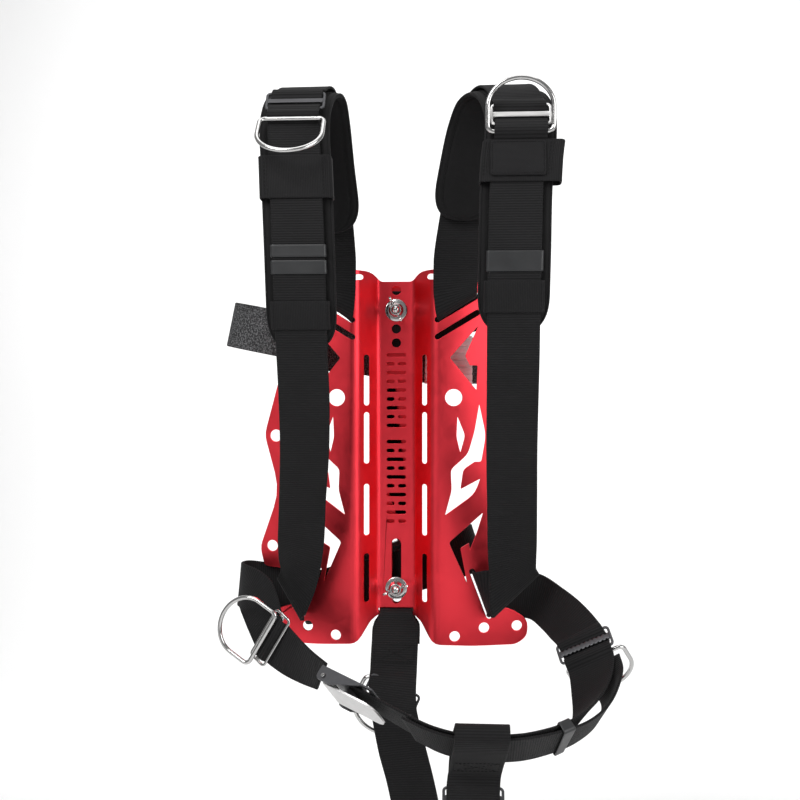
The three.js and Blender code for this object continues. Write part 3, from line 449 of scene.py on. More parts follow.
def dense(x, y, nx, ny, most):
    """Adds points to a closed outline so that none of its sides is longer than most millimetres.

    It gives the points, their normals, their distance along the outline, and the outline's length.
    """
    closest = 0.2
    px, py = np.append(x, x[0]), np.append(y, y[0])
    qx, qy = np.append(nx, nx[0]), np.append(ny, ny[0])
    d = np.concatenate([[0], np.cumsum(np.hypot(np.diff(px), np.diff(py)))])
    extra = np.arange(0, d[-1], most)
    at = np.unique(np.round(np.concatenate([d[:-1], extra[1:]]), 3))
    at = at[at < d[-1] - closest]
    return tuple(np.interp(at, d, v) for v in (px, py, qx, qy)) + (at, d[-1])


def loop_tape(name, route, u0, u1, outline, thick, key, node, shift):
    """A tape round a strap: its length follows the outline across the route, its width runs along the route.

    A point is centre + side * (x + shift) + out * y, moved along the outline's normal by the tape's height.
    """
    x, y, nx, ny, d, total = dense(*outline, 3.0)
    narrowest = 4.4
    half = max(Along(route, np.linspace(u0, u1, 60)).distance()[-1] / 2 / MM, narrowest)
    w, h = webbing_section(half, thick)
    s = Along(route, u0 + (u1 - u0) * (w / half + 1) / 2)
    px = x[:, None] + nx[:, None] * (h[None, :] + thick / 2) + shift
    py = y[:, None] + ny[:, None] * (h[None, :] + thick / 2)
    points = s.centre[None] + s.side[None] * px[..., None] * MM + s.out[None] * py[..., None] * MM
    points = points.reshape(-1, 3)
    m, n = len(x), len(w)
    u = np.repeat((w * MM)[None, :], m, axis=0)
    v = np.repeat((d * MM)[:, None], n, axis=1)
    uv = grid_uv(u, v, u[:, :1], np.full((1, n + 1), total * MM))
    faces, uv, _ = face_outwards(points, grid_faces(m, n, True, True), uv)
    return finish(finish_mesh(name, points, [faces], "harness", (node,), uv), key)


def stitches(name, paths, normals, length=2.6, gap=1.1, thick=0.42):
    """Rows of stitches: every length + gap along each path lies one ellipsoid of six rings of six points.

    Its half axes are length / 2 along the path, thick across it and 0.75 * thick square to the surface.
    """
    rings = corners = 6
    pole = 0.12
    starts, dirs, ups = [], [], []
    for path, normal in zip(paths, normals):
        d = np.concatenate([[0], np.cumsum(np.linalg.norm(np.diff(path, axis=0), axis=1))])
        at = np.arange(length / 2, d[-1] / MM - length / 2, length + gap) * MM
        if len(at) < 1:
            continue
        a = np.stack([np.interp(at - length * MM / 2, d, path[:, k]) for k in range(3)], axis=1)
        b = np.stack([np.interp(at + length * MM / 2, d, path[:, k]) for k in range(3)], axis=1)
        n = np.stack([np.interp(at, d, normal[:, k]) for k in range(3)], axis=1)
        starts.append((a + b) / 2)
        dirs.append(unit(b - a))
        ups.append(unit(n))
    c, f, up = np.vstack(starts), np.vstack(dirs), np.vstack(ups)
    across = unit(np.cross(up, f))
    lat = np.linspace(pole, pi - pole, rings)[:, None]
    lon = np.linspace(0, 2 * pi, corners, endpoint=False)[None, :]
    x = -np.cos(lat) * np.ones_like(lon) * length / 2
    y = np.sin(lat) * np.cos(lon) * thick
    z = np.sin(lat) * np.sin(lon) * thick * 0.75
    local = np.stack([x, y, z], axis=-1).reshape(-1, 3) * MM
    points = (
        c[:, None, :]
        + f[:, None, :] * local[None, :, :1]
        + across[:, None, :] * local[None, :, 1:2]
        + up[:, None, :] * local[None, :, 2:]
    )
    one = grid_faces(rings, corners, False, True)
    sign = 1 if volume_of(points[0], one) >= 0 else -1
    start = (np.arange(len(c)) * rings * corners)[:, None]
    side = start[..., None] + one[None, :, ::sign]
    first = start + np.arange(corners)[None, ::-sign]
    last = start + (rings - 1) * corners + np.arange(corners)[None, ::sign]
    rows = finish_mesh(name, points, [side.reshape(-1, 4), first, last], "harness")
    return finish(rows, "stitching")


def tube(name, path, radius, body, up, replaces=(), sides=16, flat=1.0):
    """A round bar along a closed path: path + radius * (cos a * across + flat * sin a * rise).

    across is square to the path and to up, and rise is square to the path and to across.
    """
    t = unit(np.roll(path, -1, axis=0) - np.roll(path, 1, axis=0))
    across = unit(np.cross(up, t))
    rise = np.cross(t, across)
    a = np.linspace(0, 2 * pi, sides, endpoint=False)[None, :, None]
    sections = path[:, None] + radius * MM * (
        np.cos(a) * across[:, None] + flat * np.sin(a) * rise[:, None]
    )
    return swept(name, sections, body, replaces, closed=True)


def plain_copy(node, name, key, bevel, angle=28, segments=2):
    """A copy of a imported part: loose triangles joined, flat faces merged and edges broken by a bevel."""
    touching, level = 2e-6, radians(0.6)
    source = frame["nodes"][node]
    mesh = source.data.copy()
    mesh.name = name
    work = bmesh.new()
    work.from_mesh(mesh)
    bmesh.ops.remove_doubles(work, verts=work.verts, dist=touching)
    bmesh.ops.dissolve_limit(work, angle_limit=level, verts=work.verts, edges=work.edges)
    bmesh.ops.recalc_face_normals(work, faces=work.faces)
    work.to_mesh(mesh)
    work.free()
    mesh.materials.clear()
    mesh.set_sharp_from_angle(angle=radians(angle))
    mesh.polygons.foreach_set("use_smooth", np.full(len(mesh.polygons), True))
    obj = put_in_scene(name, mesh)
    soften = obj.modifiers.new("broken edges", "BEVEL")
    soften.width = bevel * MM
    soften.segments = segments
    soften.limit_method = "ANGLE"
    soften.angle_limit = radians(angle)
    soften.use_clamp_overlap = bevel < 0.3
    soften.harden_normals = True
    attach(obj, body_of(source)[0])
    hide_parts(node)
    return finish(obj, key)


# ---- materials -----------------------------------------------------------------------------------
def empty_material(name):
    """A new material with no nodes yet, its nodes and its links."""
    mat = bpy.data.materials.new(name)
    mat.use_nodes = True
    mat.node_tree.nodes.clear()
    return mat, mat.node_tree.nodes, mat.node_tree.links


def lay_out(nodes, groups):
    """Sets the places of the nodes: each group is one frame, its nodes in columns of three."""
    column, row, gap = 190, -230, 80
    x = 0
    for title, members in groups:
        box = nodes.new("NodeFrame")
        box.label = title
        for k, node in enumerate(members):
            node.parent = box
            node.location = (x + column * (k // 3), row * (k % 3))
        x += column * ((len(members) + 2) // 3) + gap


def woven_material(name, colour, rib, warp, depth=0.3, speckle=0.0, painted_weave_shade=0.55):
    """Woven cloth on the strap's own texture positions, which are in metres.

    Ribs lie across the strap every rib millimetres, and warp threads every warp millimetres, set off by half
    from rib to rib. The valleys are darkened as painted shade and the crests lightened as painted highlight,
    by painted_weave_shade; the crests are also smoother, and speckle gives the yarn light flecks.
    """
    roughness = 0.82
    mat, nodes, links = empty_material(name)
    uv = nodes.new("ShaderNodeUVMap")
    uv.label = "strap's width and length"
    uv.uv_map = "cloth"
    split = nodes.new("ShaderNodeSeparateXYZ")
    split.label = "across and along"
    links.new(uv.outputs["UV"], split.inputs["Vector"])
    turns = nodes.new("ShaderNodeMath")
    turns.label = "rib number"
    turns.operation = "DIVIDE"
    turns.inputs[1].default_value = rib * MM
    links.new(split.outputs["Y"], turns.inputs[0])
    half_turn = nodes.new("ShaderNodeMath")
    half_turn.label = "half a wave to a rib"
    half_turn.operation = "MULTIPLY"
    half_turn.inputs[1].default_value = pi
    links.new(turns.outputs[0], half_turn.inputs[0])
    rib_wave = nodes.new("ShaderNodeMath")
    rib_wave.label = "rib wave"
    rib_wave.operation = "SINE"
    links.new(half_turn.outputs[0], rib_wave.inputs[0])
    rib_high = nodes.new("ShaderNodeMath")
    rib_high.label = "round ribs"
    rib_high.operation = "ABSOLUTE"
    links.new(rib_wave.outputs[0], rib_high.inputs[0])
    row = nodes.new("ShaderNodeMath")
    row.label = "which rib"
    row.operation = "FLOOR"
    links.new(turns.outputs[0], row.inputs[0])
    shift = nodes.new("ShaderNodeMath")
    shift.label = "threads set off by half"
    shift.operation = "MULTIPLY"
    shift.inputs[1].default_value = 0.5
    links.new(row.outputs[0], shift.inputs[0])
    thread = nodes.new("ShaderNodeMath")
    thread.label = "thread number"
    thread.operation = "MULTIPLY_ADD"
    thread.inputs[1].default_value = 1 / (warp * MM)
    links.new(split.outputs["X"], thread.inputs[0])
    links.new(shift.outputs[0], thread.inputs[2])
    thread_turn = nodes.new("ShaderNodeMath")
    thread_turn.label = "half a wave to a thread"
    thread_turn.operation = "MULTIPLY"
    thread_turn.inputs[1].default_value = pi
    links.new(thread.outputs[0], thread_turn.inputs[0])
    thread_wave = nodes.new("ShaderNodeMath")
    thread_wave.label = "thread wave"
    thread_wave.operation = "SINE"
    links.new(thread_turn.outputs[0], thread_wave.inputs[0])
    thread_high = nodes.new("ShaderNodeMath")
    thread_high.label = "round threads"
    thread_high.operation = "ABSOLUTE"
    links.new(thread_wave.outputs[0], thread_high.inputs[0])
    weave = nodes.new("ShaderNodeMath")
    weave.label = "weave height"
    weave.operation = "MULTIPLY_ADD"
    weave.inputs[1].default_value = 0.45
    links.new(thread_high.outputs[0], weave.inputs[0])
    links.new(rib_high.outputs[0], weave.inputs[2])
    place = nodes.new("ShaderNodeTexCoord")
    place.label = "place on the object"
    fuzz = nodes.new("ShaderNodeTexNoise")
    fuzz.label = "fibre fuzz"
    fuzz.inputs["Scale"].default_value = 2600
    fuzz.inputs["Detail"].default_value = 2
    links.new(place.outputs["Object"], fuzz.inputs["Vector"])
    patches = nodes.new("ShaderNodeTexNoise")
    patches.label = "faded patches"
    patches.inputs["Scale"].default_value = 22
    patches.inputs["Detail"].default_value = 4
    links.new(place.outputs["Object"], patches.inputs["Vector"])
    crest = nodes.new("ShaderNodeMapRange")
    crest.label = "crest or valley"
    crest.inputs["From Min"].default_value = 0.15
    crest.inputs["From Max"].default_value = 1.35
    links.new(weave.outputs[0], crest.inputs["Value"])
    # painted shade in the weave's valleys and painted highlight on its crests, following the weave's relief
    tone = nodes.new("ShaderNodeMix")
    tone.label = "painted valley shade to crest highlight"
    tone.data_type = "RGBA"
    valley_shade = [c * (1 - painted_weave_shade) for c in colour]
    light = [min(1, c * (1 + painted_weave_shade)) for c in colour]
    tone.inputs[6].default_value = (*valley_shade, 1)
    tone.inputs[7].default_value = (*light, 1)
    links.new(crest.outputs[0], tone.inputs[0])
    fade = nodes.new("ShaderNodeMapRange")
    fade.label = "how faded"
    fade.inputs["From Min"].default_value = 0.3
    fade.inputs["From Max"].default_value = 0.75
    fade.inputs["To Min"].default_value = 0.82
    fade.inputs["To Max"].default_value = 1.25
    links.new(patches.outputs["Fac"], fade.inputs["Value"])
    speck = nodes.new("ShaderNodeMapRange")
    speck.label = "light flecks"
    speck.inputs["From Min"].default_value = 0.42
    speck.inputs["From Max"].default_value = 0.68
    speck.inputs["To Min"].default_value = 1.0 - 0.5 * speckle
    speck.inputs["To Max"].default_value = 1.0 + 2.2 * speckle
    flecks = nodes.new("ShaderNodeTexNoise")
    flecks.label = "flecked yarn"
    flecks.inputs["Scale"].default_value = 620
    flecks.inputs["Detail"].default_value = 1
    links.new(place.outputs["Object"], flecks.inputs["Vector"])
    links.new(flecks.outputs["Fac"], speck.inputs["Value"])
    strength = nodes.new("ShaderNodeMath")
    strength.label = "fade and flecks"
    strength.operation = "MULTIPLY"
    links.new(fade.outputs[0], strength.inputs[0])
    links.new(speck.outputs[0], strength.inputs[1])
    tinted = nodes.new("ShaderNodeVectorMath")
    tinted.label = "cloth colour"
    tinted.operation = "SCALE"
    links.new(tone.outputs[2], tinted.inputs[0])
    links.new(strength.outputs[0], tinted.inputs["Scale"])
    rough = nodes.new("ShaderNodeMapRange")
    rough.label = "crests rubbed smoother"
    rough.inputs["To Min"].default_value = min(1, roughness + 0.1)
    rough.inputs["To Max"].default_value = roughness - 0.1
    links.new(crest.outputs[0], rough.inputs["Value"])
    big = nodes.new("ShaderNodeBump")
    big.label = "weave relief"
    big.inputs["Strength"].default_value = 0.85
    big.inputs["Distance"].default_value = depth * MM
    links.new(weave.outputs[0], big.inputs["Height"])
    fine = nodes.new("ShaderNodeBump")
    fine.label = "fibre relief"
    fine.inputs["Strength"].default_value = 0.35
    fine.inputs["Distance"].default_value = 0.06 * MM
    links.new(fuzz.outputs["Fac"], fine.inputs["Height"])
    links.new(big.outputs["Normal"], fine.inputs["Normal"])
    shader = nodes.new("ShaderNodeBsdfPrincipled")
    shader.label = "cloth"
    shader.inputs["Sheen Weight"].default_value = 0.03
    shader.inputs["Sheen Roughness"].default_value = 0.45
    shader.inputs["Specular IOR Level"].default_value = 0.22
    links.new(tinted.outputs[0], shader.inputs["Base Color"])
    links.new(rough.outputs[0], shader.inputs["Roughness"])
    links.new(fine.outputs["Normal"], shader.inputs["Normal"])
    out = nodes.new("ShaderNodeOutputMaterial")
    out.label = "surface"
    links.new(shader.outputs[0], out.inputs["Surface"])
    lay_out(nodes, (
        ("Place", [uv, split, place]),
        ("Ribs and threads", [
            turns, half_turn, rib_wave, rib_high, row, shift, thread, thread_turn, thread_wave, thread_high,
            weave]),
        ("Colour", [fuzz, patches, flecks, crest, tone, fade, speck, strength, tinted]),
        ("Finish", [rough, big, fine, shader, out]),
    ))
    return mat


def foam_cloth_material(name, colour):
    """Laminated foam with a fine knit skin: a close mesh of cells with painted shade in their sunken walls,
    soft wrinkles and paler rubbed areas.
    """
    mat, nodes, links = empty_material(name)
    place = nodes.new("ShaderNodeTexCoord")
    place.label = "place on the object"
    knit = nodes.new("ShaderNodeTexVoronoi")
    knit.label = "knit cells"
    knit.inputs["Scale"].default_value = 950
    links.new(place.outputs["Object"], knit.inputs["Vector"])
    creases = nodes.new("ShaderNodeTexNoise")
    creases.label = "soft creases"
    creases.inputs["Scale"].default_value = 60
    creases.inputs["Detail"].default_value = 5
    creases.inputs["Distortion"].default_value = 0.6
    links.new(place.outputs["Object"], creases.inputs["Vector"])
    rubbed = nodes.new("ShaderNodeTexNoise")
    rubbed.label = "rubbed areas"
    rubbed.inputs["Scale"].default_value = 14
    rubbed.inputs["Detail"].default_value = 6
    links.new(place.outputs["Object"], rubbed.inputs["Vector"])
    tone = nodes.new("ShaderNodeMix")
    tone.label = "fresh to rubbed"
    tone.data_type = "RGBA"
    tone.inputs[6].default_value = (*[c * 0.7 for c in colour], 1)
    tone.inputs[7].default_value = (*[c * 1.7 for c in colour], 1)
    links.new(rubbed.outputs["Fac"], tone.inputs[0])
    # painted shade: the knit's sunken cell walls are darkened, the cell middles lightened
    groove_shade = nodes.new("ShaderNodeMapRange")
    groove_shade.label = "painted shade in the knit grooves"
    groove_shade.inputs["From Max"].default_value = 0.7
    groove_shade.inputs["To Min"].default_value = 1.25
    groove_shade.inputs["To Max"].default_value = 0.7
    links.new(knit.outputs["Distance"], groove_shade.inputs["Value"])
    tinted = nodes.new("ShaderNodeVectorMath")
    tinted.label = "skin colour"
    tinted.operation = "SCALE"
    links.new(tone.outputs[2], tinted.inputs[0])
    links.new(groove_shade.outputs[0], tinted.inputs["Scale"])
    soft = nodes.new("ShaderNodeBump")
    soft.label = "crease relief"
    soft.inputs["Strength"].default_value = 0.5
    soft.inputs["Distance"].default_value = 0.9 * MM
    links.new(creases.outputs["Fac"], soft.inputs["Height"])
    close = nodes.new("ShaderNodeBump")
    close.label = "knit relief"
    close.invert = True
    close.inputs["Strength"].default_value = 0.6
    close.inputs["Distance"].default_value = 0.16 * MM
    links.new(knit.outputs["Distance"], close.inputs["Height"])
    links.new(soft.outputs["Normal"], close.inputs["Normal"])
    rough = nodes.new("ShaderNodeMapRange")
    rough.label = "rubbed areas smoother"
    rough.inputs["To Min"].default_value = 0.92
    rough.inputs["To Max"].default_value = 0.62
    links.new(rubbed.outputs["Fac"], rough.inputs["Value"])
    shader = nodes.new("ShaderNodeBsdfPrincipled")
    shader.label = "foam cloth"
    shader.inputs["Sheen Weight"].default_value = 0.03
    shader.inputs["Sheen Roughness"].default_value = 0.5
    shader.inputs["Specular IOR Level"].default_value = 0.2
    links.new(tinted.outputs[0], shader.inputs["Base Color"])
    links.new(rough.outputs[0], shader.inputs["Roughness"])
    links.new(close.outputs["Normal"], shader.inputs["Normal"])
    out = nodes.new("ShaderNodeOutputMaterial")
    out.label = "surface"
    links.new(shader.outputs[0], out.inputs["Surface"])
    lay_out(nodes, (
        ("Place", [place]),
        ("Skin pattern", [knit, creases, rubbed]),
        ("Colour", [tone, groove_shade, tinted]),
        ("Finish", [soft, close, rough, shader, out]),
    ))
    return mat


def anodised_material(name, colour, roughness):
    """Anodised sheet metal: a fine etched grain, slow changes of the dye's depth, faint handling marks."""
    mat, nodes, links = empty_material(name)
    place = nodes.new("ShaderNodeTexCoord")
    place.label = "place on the object"
    grain = nodes.new("ShaderNodeTexNoise")
    grain.label = "etched grain"
    grain.inputs["Scale"].default_value = 1900
    grain.inputs["Detail"].default_value = 3
    links.new(place.outputs["Object"], grain.inputs["Vector"])
    depth = nodes.new("ShaderNodeTexNoise")
    depth.label = "depth of the dye"
    depth.inputs["Scale"].default_value = 9
    depth.inputs["Detail"].default_value = 5
    links.new(place.outputs["Object"], depth.inputs["Vector"])
    turn = nodes.new("ShaderNodeMapping")
    turn.label = "lengthways"
    turn.inputs["Scale"].default_value = (1.0, 1.0, 0.06)
    links.new(place.outputs["Object"], turn.inputs["Vector"])
    rolled = nodes.new("ShaderNodeTexNoise")
    rolled.label = "rolling lines under the dye"
    rolled.inputs["Scale"].default_value = 900
    rolled.inputs["Detail"].default_value = 2
    links.new(turn.outputs["Vector"], rolled.inputs["Vector"])
    marks = nodes.new("ShaderNodeTexNoise")
    marks.label = "handling marks"
    marks.inputs["Scale"].default_value = 55
    marks.inputs["Detail"].default_value = 8
    marks.inputs["Roughness"].default_value = 0.75
    links.new(place.outputs["Object"], marks.inputs["Vector"])
    tone = nodes.new("ShaderNodeMix")
    tone.label = "deep to thin dye"
    tone.data_type = "RGBA"
    tone.inputs[6].default_value = (colour[0] * 0.86, colour[1] * 0.72, colour[2] * 0.72, 1)
    tone.inputs[7].default_value = (min(1, colour[0] * 1.08), colour[1] * 1.4, colour[2] * 1.35, 1)
    links.new(depth.outputs["Fac"], tone.inputs[0])
    dull = nodes.new("ShaderNodeMapRange")
    dull.label = "marks change the gloss"
    dull.inputs["From Min"].default_value = 0.35
    dull.inputs["From Max"].default_value = 0.7
    dull.inputs["To Min"].default_value = roughness - 0.05
    dull.inputs["To Max"].default_value = roughness + 0.07
    links.new(marks.outputs["Fac"], dull.inputs["Value"])
    lines = nodes.new("ShaderNodeBump")
    lines.label = "line relief"
    lines.inputs["Strength"].default_value = 0.12
    lines.inputs["Distance"].default_value = 0.05 * MM
    links.new(rolled.outputs["Fac"], lines.inputs["Height"])
    pits = nodes.new("ShaderNodeBump")
    pits.label = "grain relief"
    pits.inputs["Strength"].default_value = 0.22
    pits.inputs["Distance"].default_value = 0.05 * MM
    links.new(grain.outputs["Fac"], pits.inputs["Height"])
    links.new(lines.outputs["Normal"], pits.inputs["Normal"])
    shader = nodes.new("ShaderNodeBsdfPrincipled")
    shader.label = "dyed oxide on metal"
    shader.inputs["Metallic"].default_value = 1.0
    links.new(tone.outputs[2], shader.inputs["Base Color"])
    links.new(dull.outputs[0], shader.inputs["Roughness"])
    links.new(pits.outputs["Normal"], shader.inputs["Normal"])
    out = nodes.new("ShaderNodeOutputMaterial")
    out.label = "surface"
    links.new(shader.outputs[0], out.inputs["Surface"])
    lay_out(nodes, (
        ("Place", [place, turn]),
        ("Surface pattern", [grain, depth, rolled, marks]),
        ("Colour", [tone]),
        ("Finish", [dull, lines, pits, shader, out]),
    ))
    return mat


def metal_material(name, colour, roughness, brushed=0.15, tarnish=0.2):
    """Stainless steel: fine brushing, scratches in two directions, and a slightly cloudy film."""
    mat, nodes, links = empty_material(name)
    place = nodes.new("ShaderNodeTexCoord")
    place.label = "place on the object"
    stretch = nodes.new("ShaderNodeMapping")
    stretch.label = "along the brushing"
    stretch.inputs["Scale"].default_value = (0.05, 1.0, 1.0)
    links.new(place.outputs["Object"], stretch.inputs["Vector"])
    brushing = nodes.new("ShaderNodeTexNoise")
    brushing.label = "brushing"
    brushing.inputs["Scale"].default_value = 2400
    brushing.inputs["Detail"].default_value = 2
    links.new(stretch.outputs["Vector"], brushing.inputs["Vector"])
    lean = nodes.new("ShaderNodeMapping")
    lean.label = "slanted scratches"
    lean.inputs["Rotation"].default_value = (0.4, 0.7, 0.9)
    lean.inputs["Scale"].default_value = (0.04, 1.0, 1.0)
    links.new(place.outputs["Object"], lean.inputs["Vector"])
    scratches = nodes.new("ShaderNodeTexNoise")
    scratches.label = "scratches"
    scratches.inputs["Scale"].default_value = 700
    scratches.inputs["Detail"].default_value = 5
    links.new(lean.outputs["Vector"], scratches.inputs["Vector"])
    film = nodes.new("ShaderNodeTexNoise")
    film.label = "cloudy film"
    film.inputs["Scale"].default_value = 70
    film.inputs["Detail"].default_value = 5
    links.new(place.outputs["Object"], film.inputs["Vector"])
    tone = nodes.new("ShaderNodeMix")
    tone.label = "clean to filmed"
    tone.data_type = "RGBA"
    tone.inputs[6].default_value = (*[c * (1 - tarnish) for c in colour], 1)
    tone.inputs[7].default_value = (*colour, 1)
    links.new(film.outputs["Fac"], tone.inputs[0])
    dull = nodes.new("ShaderNodeMapRange")
    dull.label = "scratches change the gloss"
    dull.inputs["From Min"].default_value = 0.4
    dull.inputs["From Max"].default_value = 0.72
    dull.inputs["To Min"].default_value = roughness
    dull.inputs["To Max"].default_value = roughness + 0.16
    links.new(scratches.outputs["Fac"], dull.inputs["Value"])
    relief = nodes.new("ShaderNodeBump")
    relief.label = "brushing relief"
    relief.inputs["Strength"].default_value = brushed
    relief.inputs["Distance"].default_value = 0.04 * MM
    links.new(brushing.outputs["Fac"], relief.inputs["Height"])
    shader = nodes.new("ShaderNodeBsdfPrincipled")
    shader.label = "steel"
    shader.inputs["Metallic"].default_value = 1.0
    links.new(tone.outputs[2], shader.inputs["Base Color"])
    links.new(dull.outputs[0], shader.inputs["Roughness"])
    links.new(relief.outputs["Normal"], shader.inputs["Normal"])
    out = nodes.new("ShaderNodeOutputMaterial")
    out.label = "surface"
    links.new(shader.outputs[0], out.inputs["Surface"])
    lay_out(nodes, (
        ("Place", [place, stretch, lean]),
        ("Surface pattern", [brushing, scratches, film]),
        ("Colour", [tone]),
        ("Finish", [dull, relief, shader, out]),
    ))
    return mat


def rubber_material(name, colour, roughness):
    """Moulded rubber: dusty bloom in patches, a fine pebbled skin and slightly glossy high spots."""
    mat, nodes, links = empty_material(name)
    place = nodes.new("ShaderNodeTexCoord")
    place.label = "place on the object"
    pebbles = nodes.new("ShaderNodeTexNoise")
    pebbles.label = "pebbled skin"
    pebbles.inputs["Scale"].default_value = 1300
    pebbles.inputs["Detail"].default_value = 2
    links.new(place.outputs["Object"], pebbles.inputs["Vector"])
    bloom = nodes.new("ShaderNodeTexNoise")
    bloom.label = "dusty bloom"
    bloom.inputs["Scale"].default_value = 45
    bloom.inputs["Detail"].default_value = 6
    links.new(place.outputs["Object"], bloom.inputs["Vector"])
    tone = nodes.new("ShaderNodeMix")
    tone.label = "clean to bloomed"
    tone.data_type = "RGBA"
    tone.inputs[6].default_value = (*[c * 0.75 for c in colour], 1)
    tone.inputs[7].default_value = (*[min(1, c * 1.3) for c in colour], 1)
    links.new(bloom.outputs["Fac"], tone.inputs[0])
    dull = nodes.new("ShaderNodeMapRange")
    dull.label = "bloom is duller"
    dull.inputs["To Min"].default_value = roughness - 0.12
    dull.inputs["To Max"].default_value = roughness + 0.16
    links.new(bloom.outputs["Fac"], dull.inputs["Value"])
    relief = nodes.new("ShaderNodeBump")
    relief.label = "pebble relief"
    relief.inputs["Strength"].default_value = 0.3
    relief.inputs["Distance"].default_value = 0.08 * MM
    links.new(pebbles.outputs["Fac"], relief.inputs["Height"])
    shader = nodes.new("ShaderNodeBsdfPrincipled")
    shader.label = "rubber"
    shader.inputs["Specular IOR Level"].default_value = 0.5
    links.new(tone.outputs[2], shader.inputs["Base Color"])
    links.new(dull.outputs[0], shader.inputs["Roughness"])
    links.new(relief.outputs["Normal"], shader.inputs["Normal"])
    out = nodes.new("ShaderNodeOutputMaterial")
    out.label = "surface"
    links.new(shader.outputs[0], out.inputs["Surface"])
    lay_out(nodes, (
        ("Place", [place]),
        ("Surface pattern", [pebbles, bloom]),
        ("Colour", [tone]),
        ("Finish", [dull, relief, shader, out]),
    ))
    return mat


def material(key):
    """The material of that finish, made the first time it is asked for."""
    s = bpy.context.scene.harness_settings
    name = f"{key}_finish"
    web, steel = s.webbing_colour, s.steel_colour
    if name not in bpy.data.materials:
        {
            "red_anodised": lambda: anodised_material(name, s.plate_colour, 0.36),
            "webbing": lambda: woven_material(name, web, 2.4, 1.0),
            # the keeper's webbing has weaker painted shade in the valleys and weaker painted highlight on the
            # crests
            "keeper_webbing": lambda: woven_material(name, web, 1.6, 1.2, depth=0.12, painted_weave_shade=0.3),
            "band_webbing": lambda: woven_material(name, s.band_colour, 1.9, 1.5, depth=0.25, speckle=1.0),
            "elastic": lambda: woven_material(name, [c * 1.2 for c in web], 1.1, 2.1, depth=0.2),
            "stitching": lambda: woven_material(name, [c * 1.6 for c in web], 0.5, 0.5, depth=0.05),
            "foam_cloth": lambda: foam_cloth_material(name, s.pad_colour),
            "stainless": lambda: metal_material(name, steel, 0.12),
            "satin_steel": lambda: metal_material(name, [c * 1.25 for c in steel], 0.34, brushed=0.4),
            # steel darkened as painted shade and painted dark reflection, for some slides and the buckle
            # frames
            "dark_steel": lambda: metal_material(name, s.shaded_steel_colour, 0.42, brushed=0.3, tarnish=0.35),
            "grip_rubber": lambda: rubber_material(name, s.grip_colour, 0.5),
            "black_rubber": lambda: rubber_material(name, s.rubber_colour, 0.42),
        }[key]()
    return bpy.data.materials[name]


def finish(obj, key):
    """Gives a piece one material."""
    obj.data.materials.clear()
    obj.data.materials.append(material(key))
    return obj


# ---- settings ------------------------------------------------------------------------------------
def colour_setting(name, description, default):
    """A colour that the user can change."""
    return FloatVectorProperty(
        name=name, description=description, default=default, subtype="COLOR", size=3, min=0, max=1)


def length_setting(name, description, default, least, most):
    """A length that the user can change, in metres."""
    return FloatProperty(
        name=name, description=description, default=default, min=least, max=most,
        subtype="DISTANCE", unit="LENGTH")


class HARNESS_PG_settings(bpy.types.PropertyGroup):
    """Colours and sizes that a user would change"""

    plate_colour: colour_setting("Plate", "Colour of the dyed oxide on the plate", (0.93, 0.048, 0.068))
    webbing_colour: colour_setting("Webbing", "Colour of the harness webbing", (0.0042, 0.0040, 0.0044))
    pad_colour: colour_setting("Pads", "Colour of the pads' skin", (0.0030, 0.0028, 0.0031))
    band_colour: colour_setting("Upper tank band", "Colour of the flecked tank band", (0.026, 0.026, 0.027))
    steel_colour: colour_setting("Steel", "Colour of the polished and satin steel", (0.56, 0.555, 0.55))
    # the steel colour darkened as painted shade, for some slides and the buckle frames
    shaded_steel_colour: colour_setting(
        "Dark steel", "Colour of the dark slides and the buckle frames", (0.09, 0.09, 0.095))
    grip_colour: colour_setting("Grip", "Colour of the tank band's grip", (0.86, 0.87, 0.88))
    rubber_colour: colour_setting(
        "Rubber", "Colour of the rubber bands, the belt keeper and the spacer", (0.012, 0.0125, 0.0135))
    ring_wire: length_setting("Ring wire", "Radius of the rings' wire", 0.0023, 0.001, 0.004)
    edge_break: length_setting("Broken edges", "Width of the bevel on the backplate", 0.0004, 0.0001, 0.001)


# ---- operators -----------------------------------------------------------------------------------
class HARNESS_OT_backplate(bpy.types.Operator):
    """Folded backplate and the adapter rail behind it"""

    bl_idname = "harness.backplate"
    bl_label = "Backplate"

    def execute(self, context):
        width = context.scene.harness_settings.edge_break / MM
        plain_copy("backplate", "backplate_sheet", "red_anodised", width)
        plain_copy("adapter_rail", "adapter_channel", "red_anodised", 0.6)
        return {"FINISHED"}


def threaded_shank(name, z, body, node):
    """A bolt's shank along the Y axis with a cut thread that fades out towards a blunt tip.

    Its radius is 3.95 - 0.45 tri(y / pitch - a / 2 pi), where tri falls from 1 to 0 and rises again over one
    turn, less 0.9 mm at the tip.
    """
    sides, pitch = 24, 1.25
    y = np.linspace(-16.95, 8.8, 200)
    a = np.linspace(0, 2 * pi, sides, endpoint=False)[None]
    tri = np.abs(2 * ((y[:, None] / pitch - a / (2 * pi)) % 1) - 1)
    radius = 3.95 - 0.45 * tri * step(y, -16.9, -15.5)[:, None] - 0.9 * (1 - step(y, -16.95, -15.9))[:, None]
    y = np.repeat(y[:, None], sides, axis=1)
    points = np.stack([radius * np.cos(a), y, z + radius * np.sin(a)], axis=-1) * MM
    finish(swept(name, points, body, (node,)), "stainless")


